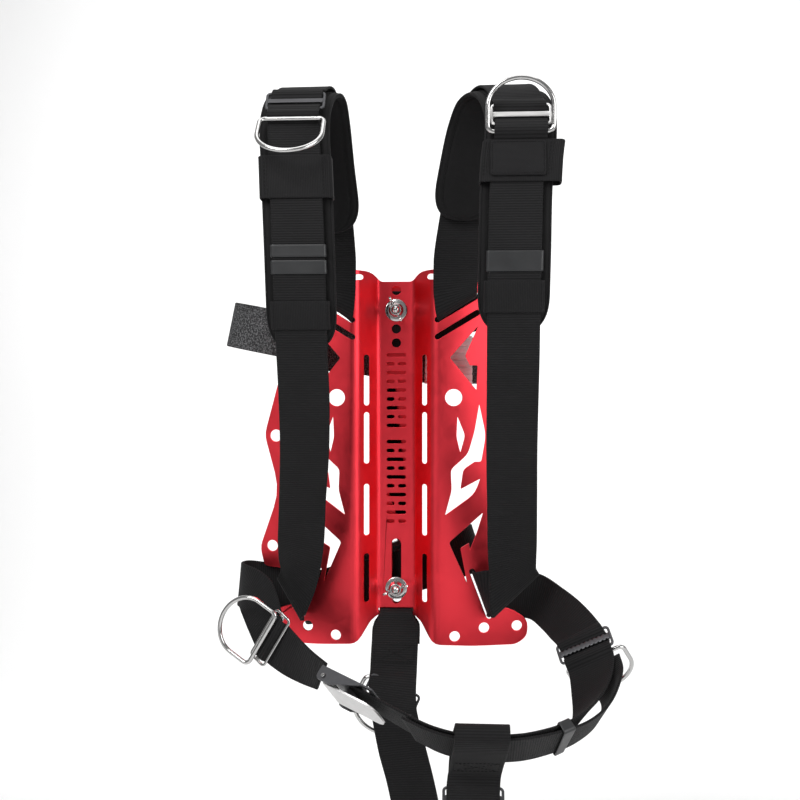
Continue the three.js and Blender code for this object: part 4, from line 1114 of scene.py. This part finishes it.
def bolt_head(name, z, body):
    """A hexagon carried along the Y axis, with its edges broken at both faces."""
    a = np.linspace(0, 2 * pi, 7)[:-1]
    hexagon = np.stack([np.cos(a), np.zeros(6), np.sin(a)], axis=-1)
    scale = ((5.6, 9.6), (6.7, 9.6), (7.0, 9.9), (7.0, 13.2), (6.7, 13.8), (5.6, 14.0))  # radius, place on Y
    sections = np.stack([hexagon * r + (0, y, z) for r, y in scale]) * MM
    head = finish(swept(name, sections, body), "stainless")
    head.data.set_sharp_from_angle(angle=radians(25))


def turned_about_y(name, profile, z, body, key, node):
    """A turned piece: the profile's radius carried round the Y axis at height z."""
    sides = 48
    r, y = np.array(profile, float).T
    a = np.linspace(0, 2 * pi, sides, endpoint=False)[:, None]
    points = np.stack([r * np.cos(a), np.repeat(y[None], sides, axis=0), z + r * np.sin(a)], axis=-1)
    finish(swept(name, points * MM, body, (node,), closed=True), key)


class HARNESS_OT_bolts(bpy.types.Operator):
    """Bolts with cut threads, washers, wing nuts and the rubber spacer"""

    bl_idname = "harness.bolts"
    bl_label = "Bolts and wing nuts"

    def execute(self, context):
        washer = (  # radius, place on Y
            (4.3, -3.5), (4.3, -5.1), (4.6, -5.3), (11.6, -5.3), (12.0, -5.0), (12.0, -3.6), (11.7, -3.3),
            (4.6, -3.3))
        spacer = (
            (4.3, 0.6), (4.3, 5.7), (4.8, 6.0), (9.2, 6.0), (10.0, 5.2), (10.0, 1.1), (9.2, 0.3), (4.6, 0.3))
        for side, z, body in BOLTS:
            threaded_shank(f"{side}_bolt_thread", z, body, f"{side}_bolt")
            bolt_head(f"{side}_bolt_head", z, body)
            turned_about_y(f"{side}_washer_disc", washer, z, body, "stainless", f"{side}_washer")
            plain_copy(f"{side}_wing_nut", f"{side}_wing_nut_cast", "stainless", 0.5, 35, 3)
        _, z, body = BOLTS[1]
        turned_about_y("lower_spacer_ring", spacer, z, body, "black_rubber", "lower_spacer")
        return {"FINISHED"}


class HARNESS_OT_shoulder_straps(bpy.types.Operator):
    """Shoulder webbing, raised where it passes over slides and rings"""

    bl_idname = "harness.shoulder_straps"
    bl_label = "Shoulder straps"

    def execute(self, context):
        left = over_bars("left_shoulder", 17.42, ((18.05, 8.6, 9.0),))
        right = over_bars("right_shoulder", 16.75, ((17.5, 8.6, 2.6),))
        strap("left_shoulder", "webbing", "left_shoulder_strap", left)
        strap("right_shoulder", "webbing", "right_shoulder_strap", right)
        return {"FINISHED"}


class HARNESS_OT_waist_belt(bpy.types.Operator):
    """Both halves of the waist belt and the belt's free end"""

    bl_idname = "harness.waist_belt"
    bl_label = "Waist belt"

    def execute(self, context):
        left = over_bars("left_waist", 6.4, way=-1, high=6.2)
        right = over_middle("right_waist", 10.0, 6.4)
        strap("left_waist", "webbing", "left_waist_strap", left, wave=0.2)
        strap("right_waist", "webbing", "right_waist_strap", right, wave=0.2)
        strap("belt_end", "webbing", "belt_free_end", wave=0.2)
        return {"FINISHED"}


class HARNESS_OT_crotch_straps(bpy.types.Operator):
    """Crotch strap and the sewn loop that the belt passes through"""

    bl_idname = "harness.crotch_straps"
    bl_label = "Crotch strap"

    def execute(self, context):
        rear = over_all("crotch", 9.7, 7.4, 13.5)
        front = over_all("crotch_loop", 0.0, 6.4, 17.0)
        strap("crotch", "webbing", "crotch_strap", rear)
        strap("crotch_loop", "webbing", "crotch_front_loop", front, wave=0.2)
        return {"FINISHED"}


class HARNESS_OT_tank_bands(bpy.types.Operator):
    """Tank bands behind the plate and the ribbed grip on the upper one"""

    bl_idname = "harness.tank_bands"
    bl_label = "Tank bands"

    def execute(self, context):
        strap("upper_band", "band_webbing", "upper_tank_band", wave=0.0, thick=2.2)
        strap("lower_band", "webbing", "lower_tank_band", wave=0.0, thick=2.2)
        self.grip()
        return {"FINISHED"}

    def grip(self):
        """A flat rubber sleeve with grooves along the band.

        Both faces sink by deep * cos(pi w / pitch)^14, where w is the distance across.
        """
        deep, pitch = 1.6, 7.5
        s = Along("upper_band", even_rows("upper_band", 3.2, 4.4, 2.0))
        x, y, _, ny, _, _ = dense(*round_box(26.7, -3.1, 3.1, 1.2, 5), 0.4)
        sink = deep * np.cos(pi * x / pitch) ** 14 * (np.abs(ny) > 0.99)
        points = s.place(x[None], (y - ny * sink)[None])
        grip = swept("upper_band_grip_ribs", points, "harness", ("upper_band_grip",))
        finish(grip, "grip_rubber")


PAD_HALF = 33.0       # half width of a shoulder pad, mm
PAD_MIDDLE = -7.4     # height of its middle layer over the strap's centre line
PAD_TIP = 42.0        # length over which each end closes
PAD_CHANNEL = 7.0     # distance of the sewn channel from its edge


def pad_width(d, total):
    """Half width of a pad at distance d: full in the middle, closing over the tip as a superellipse."""
    t = np.clip((PAD_TIP - np.minimum(d, total - d)) / PAD_TIP, 0, 0.995)
    return PAD_HALF * (1 - t**2.8) ** (1 / 2.8)


class HARNESS_OT_shoulder_pads(bpy.types.Operator):
    """Foam pads under the shoulder webbing, with a sewn channel and a bound edge"""

    bl_idname = "harness.shoulder_pads"
    bl_label = "Shoulder pads"

    def execute(self, context):
        self.pad("left", 10.9, 22.5)
        self.pad("right", 10.6, 22.9)
        return {"FINISHED"}

    def pad(self, side, u0, u1):
        """One pad between two row numbers: centre + side * w + out * (middle +- h).

        The half thickness is h = 3.7 (1 - |w / half|^5)^(1/2), thinner at the tips, less a stitched channel
        0.9 mm deep that runs 7 mm inside the edge. The lower face also swells softly between the channels.
        """
        route = f"{side}_shoulder"
        s = Along(route, even_rows(route, u0, u1, 3.0))
        d = s.distance() / MM
        half = np.maximum(pad_width(d, d[-1]), 5.0)
        k = np.linspace(-1, 1, 41)
        k = np.sin(k * pi / 2) * 0.35 + k * 0.65
        w = half[:, None] * k[None, :]
        channel = 0.9 * np.exp(-(((half[:, None] - np.abs(w) - PAD_CHANNEL) / 1.1) ** 2))
        middle = 0.35 * np.sin(d / 23.0)[:, None] * (1 - k[None] ** 2)
        swell = middle - 0.25 * np.cos(d / 9.0)[:, None] * k[None] ** 4
        taper = 0.55 + 0.45 * np.minimum(1, half / PAD_HALF) ** 1.5
        h = np.maximum(3.7 * (1 - np.abs(k) ** 5)[None] ** 0.5 * taper[:, None] - channel, 0.5)
        top = PAD_MIDDLE + np.minimum(h, 3.9)
        low = PAD_MIDDLE - h - swell * 0.8
        across = np.concatenate([w, w[:, -2:0:-1]], axis=1)
        rise = np.concatenate([top, low[:, -2:0:-1]], axis=1)
        pad = swept(f"{side}_pad_foam", s.place(across, rise), "harness",
                    (f"{side}_shoulder_pad",), along=d * MM)
        finish(pad, "foam_cloth")
        self.binding(side, s, half - 0.4)
        self.seam(side, s, half - PAD_CHANNEL)

    def binding(self, side, s, reach):
        """A bound edge: a flat round tape up one side of the pad and back down the other."""
        path = np.vstack([s.line(reach, PAD_MIDDLE), s.line(-reach, PAD_MIDDLE)[::-1]])
        up = np.vstack([s.out, s.out[::-1]])
        finish(tube(f"{side}_pad_binding", path, 1.5, "harness", up, sides=12, flat=1.35),
               "keeper_webbing")

    def seam(self, side, s, reach):
        """Stitches in both channels of both faces, away from the tips."""
        keep = slice(4, -4)
        upper, lower = (1, 2.75), (-1, -2.85)  # side and height of each face
        rows = [(sign, face, lift) for sign in (-1, 1) for face, lift in (upper, lower)]
        paths = [s.line(sign * reach, PAD_MIDDLE + lift)[keep] for sign, _, lift in rows]
        stitches(f"{side}_pad_stitching", paths, [face * s.out[keep] for _, face, _ in rows])


def box_stitch(route, u0, u1, reach, high):
    """Paths of a stitched box with a cross in it, between two row numbers and reach mm to each side."""
    a, b, c, d = (u0, -reach), (u0, reach), (u1, reach), (u1, -reach)
    paths, normals = [], []
    for line in ((a, b, c, d, a), (a, c), (b, d)):
        u, x = np.concatenate([np.linspace(p, q, 14) for p, q in zip(line, line[1:])]).T
        s = Along(route, u)
        paths.append(s.line(x, high))
        normals.append(s.out)
    return paths, normals


class HARNESS_OT_keepers(bpy.types.Operator):
    """Webbing and elastic keepers, rubber bands, the plain patch and the stitching"""

    bl_idname = "harness.keepers"
    bl_label = "Keepers and bands"

    def execute(self, context):
        over, above, under = 1.6, -1.6, -11.7
        wide = round_box(33.6, under, over, 3.4)
        wider = round_box(37.1, under, over, 3.4)
        narrow = round_box(27.0, above, over, 1.3)
        close = round_box(25.5, above, over, 1.3)
        belt = round_box(26.0, above, 8.1, 1.4)
        left, right = "left_shoulder", "right_shoulder"
        for name, route, u0, u1, outline, thick, slot, key, node, shift in (
            ("left_upper_keeper_tape", left, 18.35, 19.65, wider, 1.6, "webbing", "keeper_webbing",
             "left_upper_keeper", -3.5),
            ("right_upper_keeper_tape", right, 18.9, 20.05, wide, 1.6, "webbing", "keeper_webbing",
             "right_upper_keeper", 0.0),
            ("left_lower_keeper_tape", left, 21.5, 22.05, narrow, 1.4, "elastic", "keeper_webbing",
             "left_lower_keeper", 0.0),
            ("right_lower_keeper_tape", right, 21.85, 22.4, narrow, 1.4, "elastic", "keeper_webbing",
             "right_lower_keeper", 0.0),
            ("left_elastic_band_loop", left, 21.0, 21.35, close, 1.2, "black_rubber", "black_rubber",
             "left_elastic_band", 0.0),
            ("right_elastic_band_1_loop", right, 20.9, 21.12, close, 1.2, "black_rubber", "black_rubber",
             "right_elastic_band_1", 0.0),
            ("right_elastic_band_2_loop", right, 21.17, 21.4, close, 1.2, "black_rubber", "black_rubber",
             "right_elastic_band_2", 0.0),
            ("belt_keeper_loop", "left_waist", 10.7, 11.1, belt, 1.4, "black_rubber", "black_rubber",
             "belt_keeper", 0.0),
        ):
            loop_tape(name, route, u0, u1, outline, thick, key, node, shift)
        self.patch()
        self.seams()
        return {"FINISHED"}

    def patch(self):
        """A plain patch 52 by 34 mm: inset and raised rounded rectangles make its rim, groove and face."""
        s = Along("left_shoulder", np.array([19.0]))
        centre, across, out = s.centre[0], s.side[0], s.out[0]
        along = np.cross(out, across)
        base = 4.0  # the keeper's height there

        def rectangle(x, y, high):
            return centre + (x * MM)[:, None] * across + (y * MM)[:, None] * along + out * (base + high) * MM

        x, y, nx, ny, _, _ = dense(*round_box(26.0, -17.0, 17.0, 3.0, 8), 3.0)
        rings = (  # inset, height
            (0.0, 0.0), (0.0, 0.9), (0.5, 1.35), (1.3, 1.45), (1.7, 1.25), (2.1, 1.25), (2.5, 1.4),
            (2.8, 1.45))
        sections = np.stack([rectangle(x - nx * inset, y - ny * inset, high) for inset, high in rings])
        patch = swept("strap_patch", sections, "harness", ("label_patch",))
        co = np.zeros(len(patch.data.vertices) * 3, np.float32)
        patch.data.vertices.foreach_get("co", co)
        co = co.reshape(-1, 3) - centre
        index = np.zeros(len(patch.data.loops), np.int32)
        patch.data.loops.foreach_get("vertex_index", index)
        flat = np.stack([co @ across, co @ along], axis=-1)[index]
        patch.data.uv_layers["cloth"].data.foreach_set("uv", flat.astype(np.float32).ravel())
        finish(patch, "elastic")
        x, y, _, _ = round_box(24.2, -15.2, 15.2, 2.0, 8)
        path = rectangle(np.append(x, x[0]), np.append(y, y[0]), 1.5)
        normal = np.repeat(out[None], len(path), axis=0)
        stitches("patch_stitching", [path], [normal], length=1.8, gap=0.7, thick=0.35)

    def seams(self):
        """Stitches along the ends of the keepers, and boxes of stitches on the crotch strap and its loop."""
        paths, normals = [], []
        for route, u0, u1, reach, pair, high, count in (
            ("right_shoulder", 18.98, 19.97, 28.0, (-1.3, 1.3), 3.25, 20),
            ("left_shoulder", 18.45, 19.55, 30.5, (-1.3, 1.3), 3.25, 20),
            ("left_shoulder", 21.55, 22.0, 25.6, (0.0,), 3.05, 14),
            ("right_shoulder", 21.9, 22.35, 25.6, (0.0,), 3.05, 14),
        ):
            s = Along(route, np.linspace(u0, u1, count))
            for side in (-reach, reach):
                for shift in pair:
                    paths.append(s.line(side + shift, high))
                    normals.append(s.out)
        stitches("keeper_stitching", paths, normals)
        paths, normals = box_stitch("crotch_loop", 2.1, 2.9, 21, 1.32)
        more, up = box_stitch("crotch", 8.1, 8.8, 21, 1.32)
        stitches("loop_stitching", paths + more, normals + up)


def ring_outline():
    """A D: straight bar on the x axis with corners of 6 mm, and a half ellipse for the bow."""
    half, depth, corner = 30.8, 50.0, 6.0
    a = np.linspace(-pi / 2, 0, 8)
    right = np.stack([half - corner + corner * np.cos(a), corner + corner * np.sin(a)], axis=-1)
    base = depth - half + 4
    b = np.linspace(0, pi, 72)
    bow = np.stack([half * np.cos(b), base + (depth - base) * np.sin(b)], axis=-1)
    bar = np.stack([np.linspace(-(half - corner), half - corner, 9)[1:-1], np.zeros(7)], axis=-1)
    return np.vstack([right, bow, right[::-1] * (-1, 1), bar])


class HARNESS_OT_rings(bpy.types.Operator):
    """D-rings of round wire"""

    bl_idname = "harness.rings"
    bl_label = "D-rings"

    def execute(self, context):
        wire = context.scene.harness_settings.ring_wire / MM
        flat = ring_outline()
        for name, point, bar, bow in (  # middle of the bar in mm, direction of the bar, direction of the bow
            ("left_shoulder", (126.5, -152, 311), (1, 0, 0), (0, -0.06, 1)),
            ("right_shoulder", (-90, -149.5, 327), (-1, 0, 0), (0, -0.66, -0.75)),
            ("left_waist", (204, -69, -200), (22, -3, 11), (0.16, 0.6, -0.8)),
            ("right_waist", (-130.5, -86, -183), (12, -3, 20), (-44, 12, 27)),
            ("crotch", (-4, -12.5, -249), (0.88, 0, -0.47), (-0.47, 0.05, -0.88)),
        ):
            x = unit(bar)
            z = unit(np.cross(x, bow))
            y = np.cross(z, x)
            path = (np.array(point) + flat[:, :1] * x + flat[:, 1:] * y) * MM
            ring = tube(f"{name}_ring_wire", path, wire, f"{name}_d", z, (f"{name}_ring",))
            finish(ring, "stainless")
        return {"FINISHED"}


def on_route(route, u, lift):
    """Place and directions of a flat piece on a strap: its middle, across, along and outward."""
    s = Along(route, np.array([float(u)]))
    across, out = s.side[0], s.out[0]
    return s.centre[0] + out * lift * MM, across, np.cross(out, across), out


def squared(a, power):
    """A rounded square's two coordinates at angles a: sign(c) |c|^power for the cosine and for the sine."""
    return [np.sign(c) * np.abs(c) ** power for c in (np.cos(a), np.sin(a))]


def at_point(point, x_dir, y_dir):
    """Place and directions of a flat piece from its middle and two directions in its plane."""
    x = unit(x_dir)
    z = unit(np.cross(x, y_dir))
    return np.array(point) * MM, x, np.cross(z, x), z


class HARNESS_OT_slides(bpy.types.Operator):
    """Three-bar slides, plain or with teeth on the middle bar"""

    bl_idname = "harness.slides"
    bl_label = "Slides"

    def execute(self, context):
        lift = 2.8  # height of a slide's middle over the centre of the webbing
        # the slides in the darker steel are darkened as painted shade and painted dark reflection
        for name, place, slot, key, toothed in (
            ("left_shoulder_slide", on_route("left_shoulder", 17.42, lift),
             "satin_steel", "satin_steel", False),
            ("right_shoulder_slide", on_route("right_shoulder", 16.75, lift),
             "satin_steel", "dark_steel", False),
            ("left_waist_slide", on_route("left_waist", 6.4, -lift - 1.2),
             "dark_steel", "dark_steel", True),
            ("right_waist_slide", on_route("right_waist", 10, lift + 1.2),
             "stainless", "stainless", False),
            ("crotch_slide", at_point((-3, -24.8, -252), (0.9, 0, -0.43), (0.43, 0.15, 0.9)),
             "dark_steel", "dark_steel", True),
            ("crotch_front_slide", at_point((82, -157, -314), (1, 0, 0), (0, 0.12, 1)),
             "dark_steel", "dark_steel", True),
        ):
            self.slide(name, place, slot, key, toothed)
        return {"FINISHED"}

    def slide(self, name, place, slot, key, toothed):
        """The frame is a rounded rectangle of flat bar, and the middle bar is a flat strip.

        Teeth change the strip's half width of 2.8 mm by 1.5 |sin(pi x / pitch)| - 0.6 mm.
        """
        half_bar, pitch = 1.35, 4.6
        middle, across, along, out = place
        x, y, nx, ny, _, _ = dense(*round_box(27.7, -10.4, 10.4, 3.4, 7), 4.0)
        a = np.linspace(0, 2 * pi, 14, endpoint=False)
        bar_x, bar_z = squared(a, 0.55)
        px = x[:, None] + nx[:, None] * half_bar * bar_x[None]
        py = y[:, None] + ny[:, None] * half_bar * bar_x[None]
        pz = np.repeat(bar_z[None], len(x), axis=0)
        points = middle + (px[..., None] * across + py[..., None] * along + pz[..., None] * out) * MM
        finish(swept(f"{name}_frame", points, "harness", (name,), closed=True), key)
        t = np.linspace(-26.6, 26.6, 160)
        wide = np.full_like(t, 2.8)
        if toothed:
            wide += 1.5 * np.abs(np.sin(pi * t / pitch)) - 0.6
        strip_x, strip_z = squared(a, 0.4)
        points = middle + (
            t[:, None, None] * across
            + (wide[:, None] * strip_x)[..., None] * along
            + np.repeat(0.95 * strip_z[None], len(t), axis=0)[..., None] * out
        ) * MM
        finish(swept(f"{name}_bar", points, "harness"), key)


class HARNESS_OT_buckles(bpy.types.Operator):
    """Cam buckles: pressed frames in steel darkened as painted shade, polished pins and satin levers"""

    bl_idname = "harness.buckles"
    bl_label = "Cam buckles"

    def execute(self, context):
        for name in ("waist_buckle", "upper_cam", "lower_cam"):
            # the frames are in steel darkened as painted shade
            plain_copy(f"{name}_frame", f"{name}_frame_pressing", "dark_steel", 0.2, 25)
            plain_copy(f"{name}_pin", f"{name}_pin_rod", "stainless", 0.2, 25)
            plain_copy(f"{name}_lever", f"{name}_lever_plate", "satin_steel", 0.25, 25, 3)
        return {"FINISHED"}


class HARNESS_OT_stage(bpy.types.Operator):
    """Pale floor, soft lights and the camera"""

    bl_idname = "harness.stage"
    bl_label = "Stage"

    def execute(self, context):
        context.scene.view_settings.view_transform = "Standard"
        self.floor()
        self.lights(context)
        self.camera(context)
        return {"FINISHED"}

    def floor(self):
        """A sheet below the object that curves up behind it: a quarter circle between floor and wall."""
        radius, level = 0.9, -0.62
        a = np.linspace(0, pi / 2, 24)
        y = np.concatenate([[-4.0, -1.0, 0.8], 1.4 + radius * np.sin(a), [2.3]])
        z = np.concatenate([[0.0, 0.0, 0.0], radius - radius * np.cos(a), [5.0]]) + level
        x = np.linspace(-4.5, 4.5, 8)
        points = np.stack(np.broadcast_arrays(x[None], y[:, None], z[:, None]), axis=-1)
        mesh = bpy.data.meshes.new("studio_floor")
        faces = grid_faces(len(y), len(x), False, False)
        mesh.from_pydata(points.reshape(-1, 3).tolist(), [], faces.tolist())
        mesh.polygons.foreach_set("use_smooth", np.full(len(mesh.polygons), True))
        sweep = put_in_scene("studio_floor", mesh)
        mat = bpy.data.materials.new("studio_paper")
        mat.use_nodes = True
        shader = mat.node_tree.nodes["Principled BSDF"]
        shader.label = "white paper"
        shader.inputs["Base Color"].default_value = (0.93, 0.93, 0.93, 1)
        shader.inputs["Roughness"].default_value = 0.95
        mesh.materials.append(mat)

    def lights(self, context):
        """An even surround, three square softboxes on the object and one on the wall."""
        world = bpy.data.worlds.new("studio")
        world.use_nodes = True
        back = world.node_tree.nodes["Background"]
        back.label = "even studio light"
        back.inputs["Color"].default_value = (1.0, 1.0, 1.0, 1)
        back.inputs["Strength"].default_value = 0.32
        context.scene.world = world
        for name, spot, aim, size, power in (  # places and size in metres, power in watts
            ("key_softbox", (-0.9, -1.6, 1.3), (0, 0, 0), 1.1, 36),
            ("right_softbox", (1.5, -1.2, 0.5), (0, 0, 0), 1.2, 20),
            ("top_softbox", (0.0, -0.2, 1.7), (0, 0, 0), 1.4, 12),
            ("wall_light", (0.0, 1.0, 0.9), (0, 2.4, 0.4), 2.2, 20),
        ):
            light = bpy.data.lights.new(name, "AREA")
            light.shape = "SQUARE"
            light.size = size
            light.energy = power
            aim_at(put_in_scene(name, light), spot, aim)

    def camera(self, context):
        """Lens 50 mm, 1.2 m from the object, turned 3.5 degrees to the wearer's left."""
        data = bpy.data.cameras.new("camera")
        data.lens = 50
        data.sensor_width = 36
        data.clip_start = 0.01
        data.clip_end = 20
        camera = put_in_scene("camera", data)
        turn, away = radians(3.5), 1.2
        target = np.array([0.0038, 0.0, 0.0594])
        aim_at(camera, target + away * np.array([np.sin(turn), -np.cos(turn), 0.0]), target)
        context.scene.camera = camera


def aim_at(obj, spot, aim):
    """Places an object at spot with its -Z axis towards aim and its Y axis up."""
    away = (Vector(spot) - Vector(aim)).normalized()
    side = Vector((0, 0, 1)).cross(away)
    side = side.normalized() if side.length > 1e-4 else Vector((1, 0, 0))
    up = away.cross(side)
    turn = Matrix((side, up, away)).transposed().to_4x4()
    turn.translation = Vector(spot)
    obj.matrix_world = turn


class HARNESS_PT_panel(bpy.types.Panel):
    """The settings and one button for each group of pieces"""

    bl_idname = "HARNESS_PT_panel"
    bl_label = "Diving Harness"
    bl_space_type = "VIEW_3D"
    bl_region_type = "UI"
    bl_category = "Harness"

    def draw(self, context):
        settings = context.scene.harness_settings
        for key in settings.bl_rna.properties.keys():
            if key not in ("rna_type", "name"):
                self.layout.prop(settings, key)
        for operator in OPERATORS:
            self.layout.operator(operator.bl_idname)


OPERATORS = (
    HARNESS_OT_stage,
    HARNESS_OT_backplate,
    HARNESS_OT_bolts,
    HARNESS_OT_shoulder_straps,
    HARNESS_OT_waist_belt,
    HARNESS_OT_crotch_straps,
    HARNESS_OT_tank_bands,
    HARNESS_OT_shoulder_pads,
    HARNESS_OT_keepers,
    HARNESS_OT_rings,
    HARNESS_OT_slides,
    HARNESS_OT_buckles,
)
CLASSES = (HARNESS_PG_settings, *OPERATORS, HARNESS_PT_panel)


def register():
    for cls in CLASSES:
        bpy.utils.register_class(cls)
    bpy.types.Scene.harness_settings = PointerProperty(type=HARNESS_PG_settings)


def unregister():
    del bpy.types.Scene.harness_settings
    for cls in reversed(CLASSES):
        bpy.utils.unregister_class(cls)


def main():
    """Makes every piece."""
    register()
    for operator in OPERATORS:
        getattr(bpy.ops.harness, operator.bl_idname.removeprefix("harness."))()


if __name__ == "__main__":
    main()
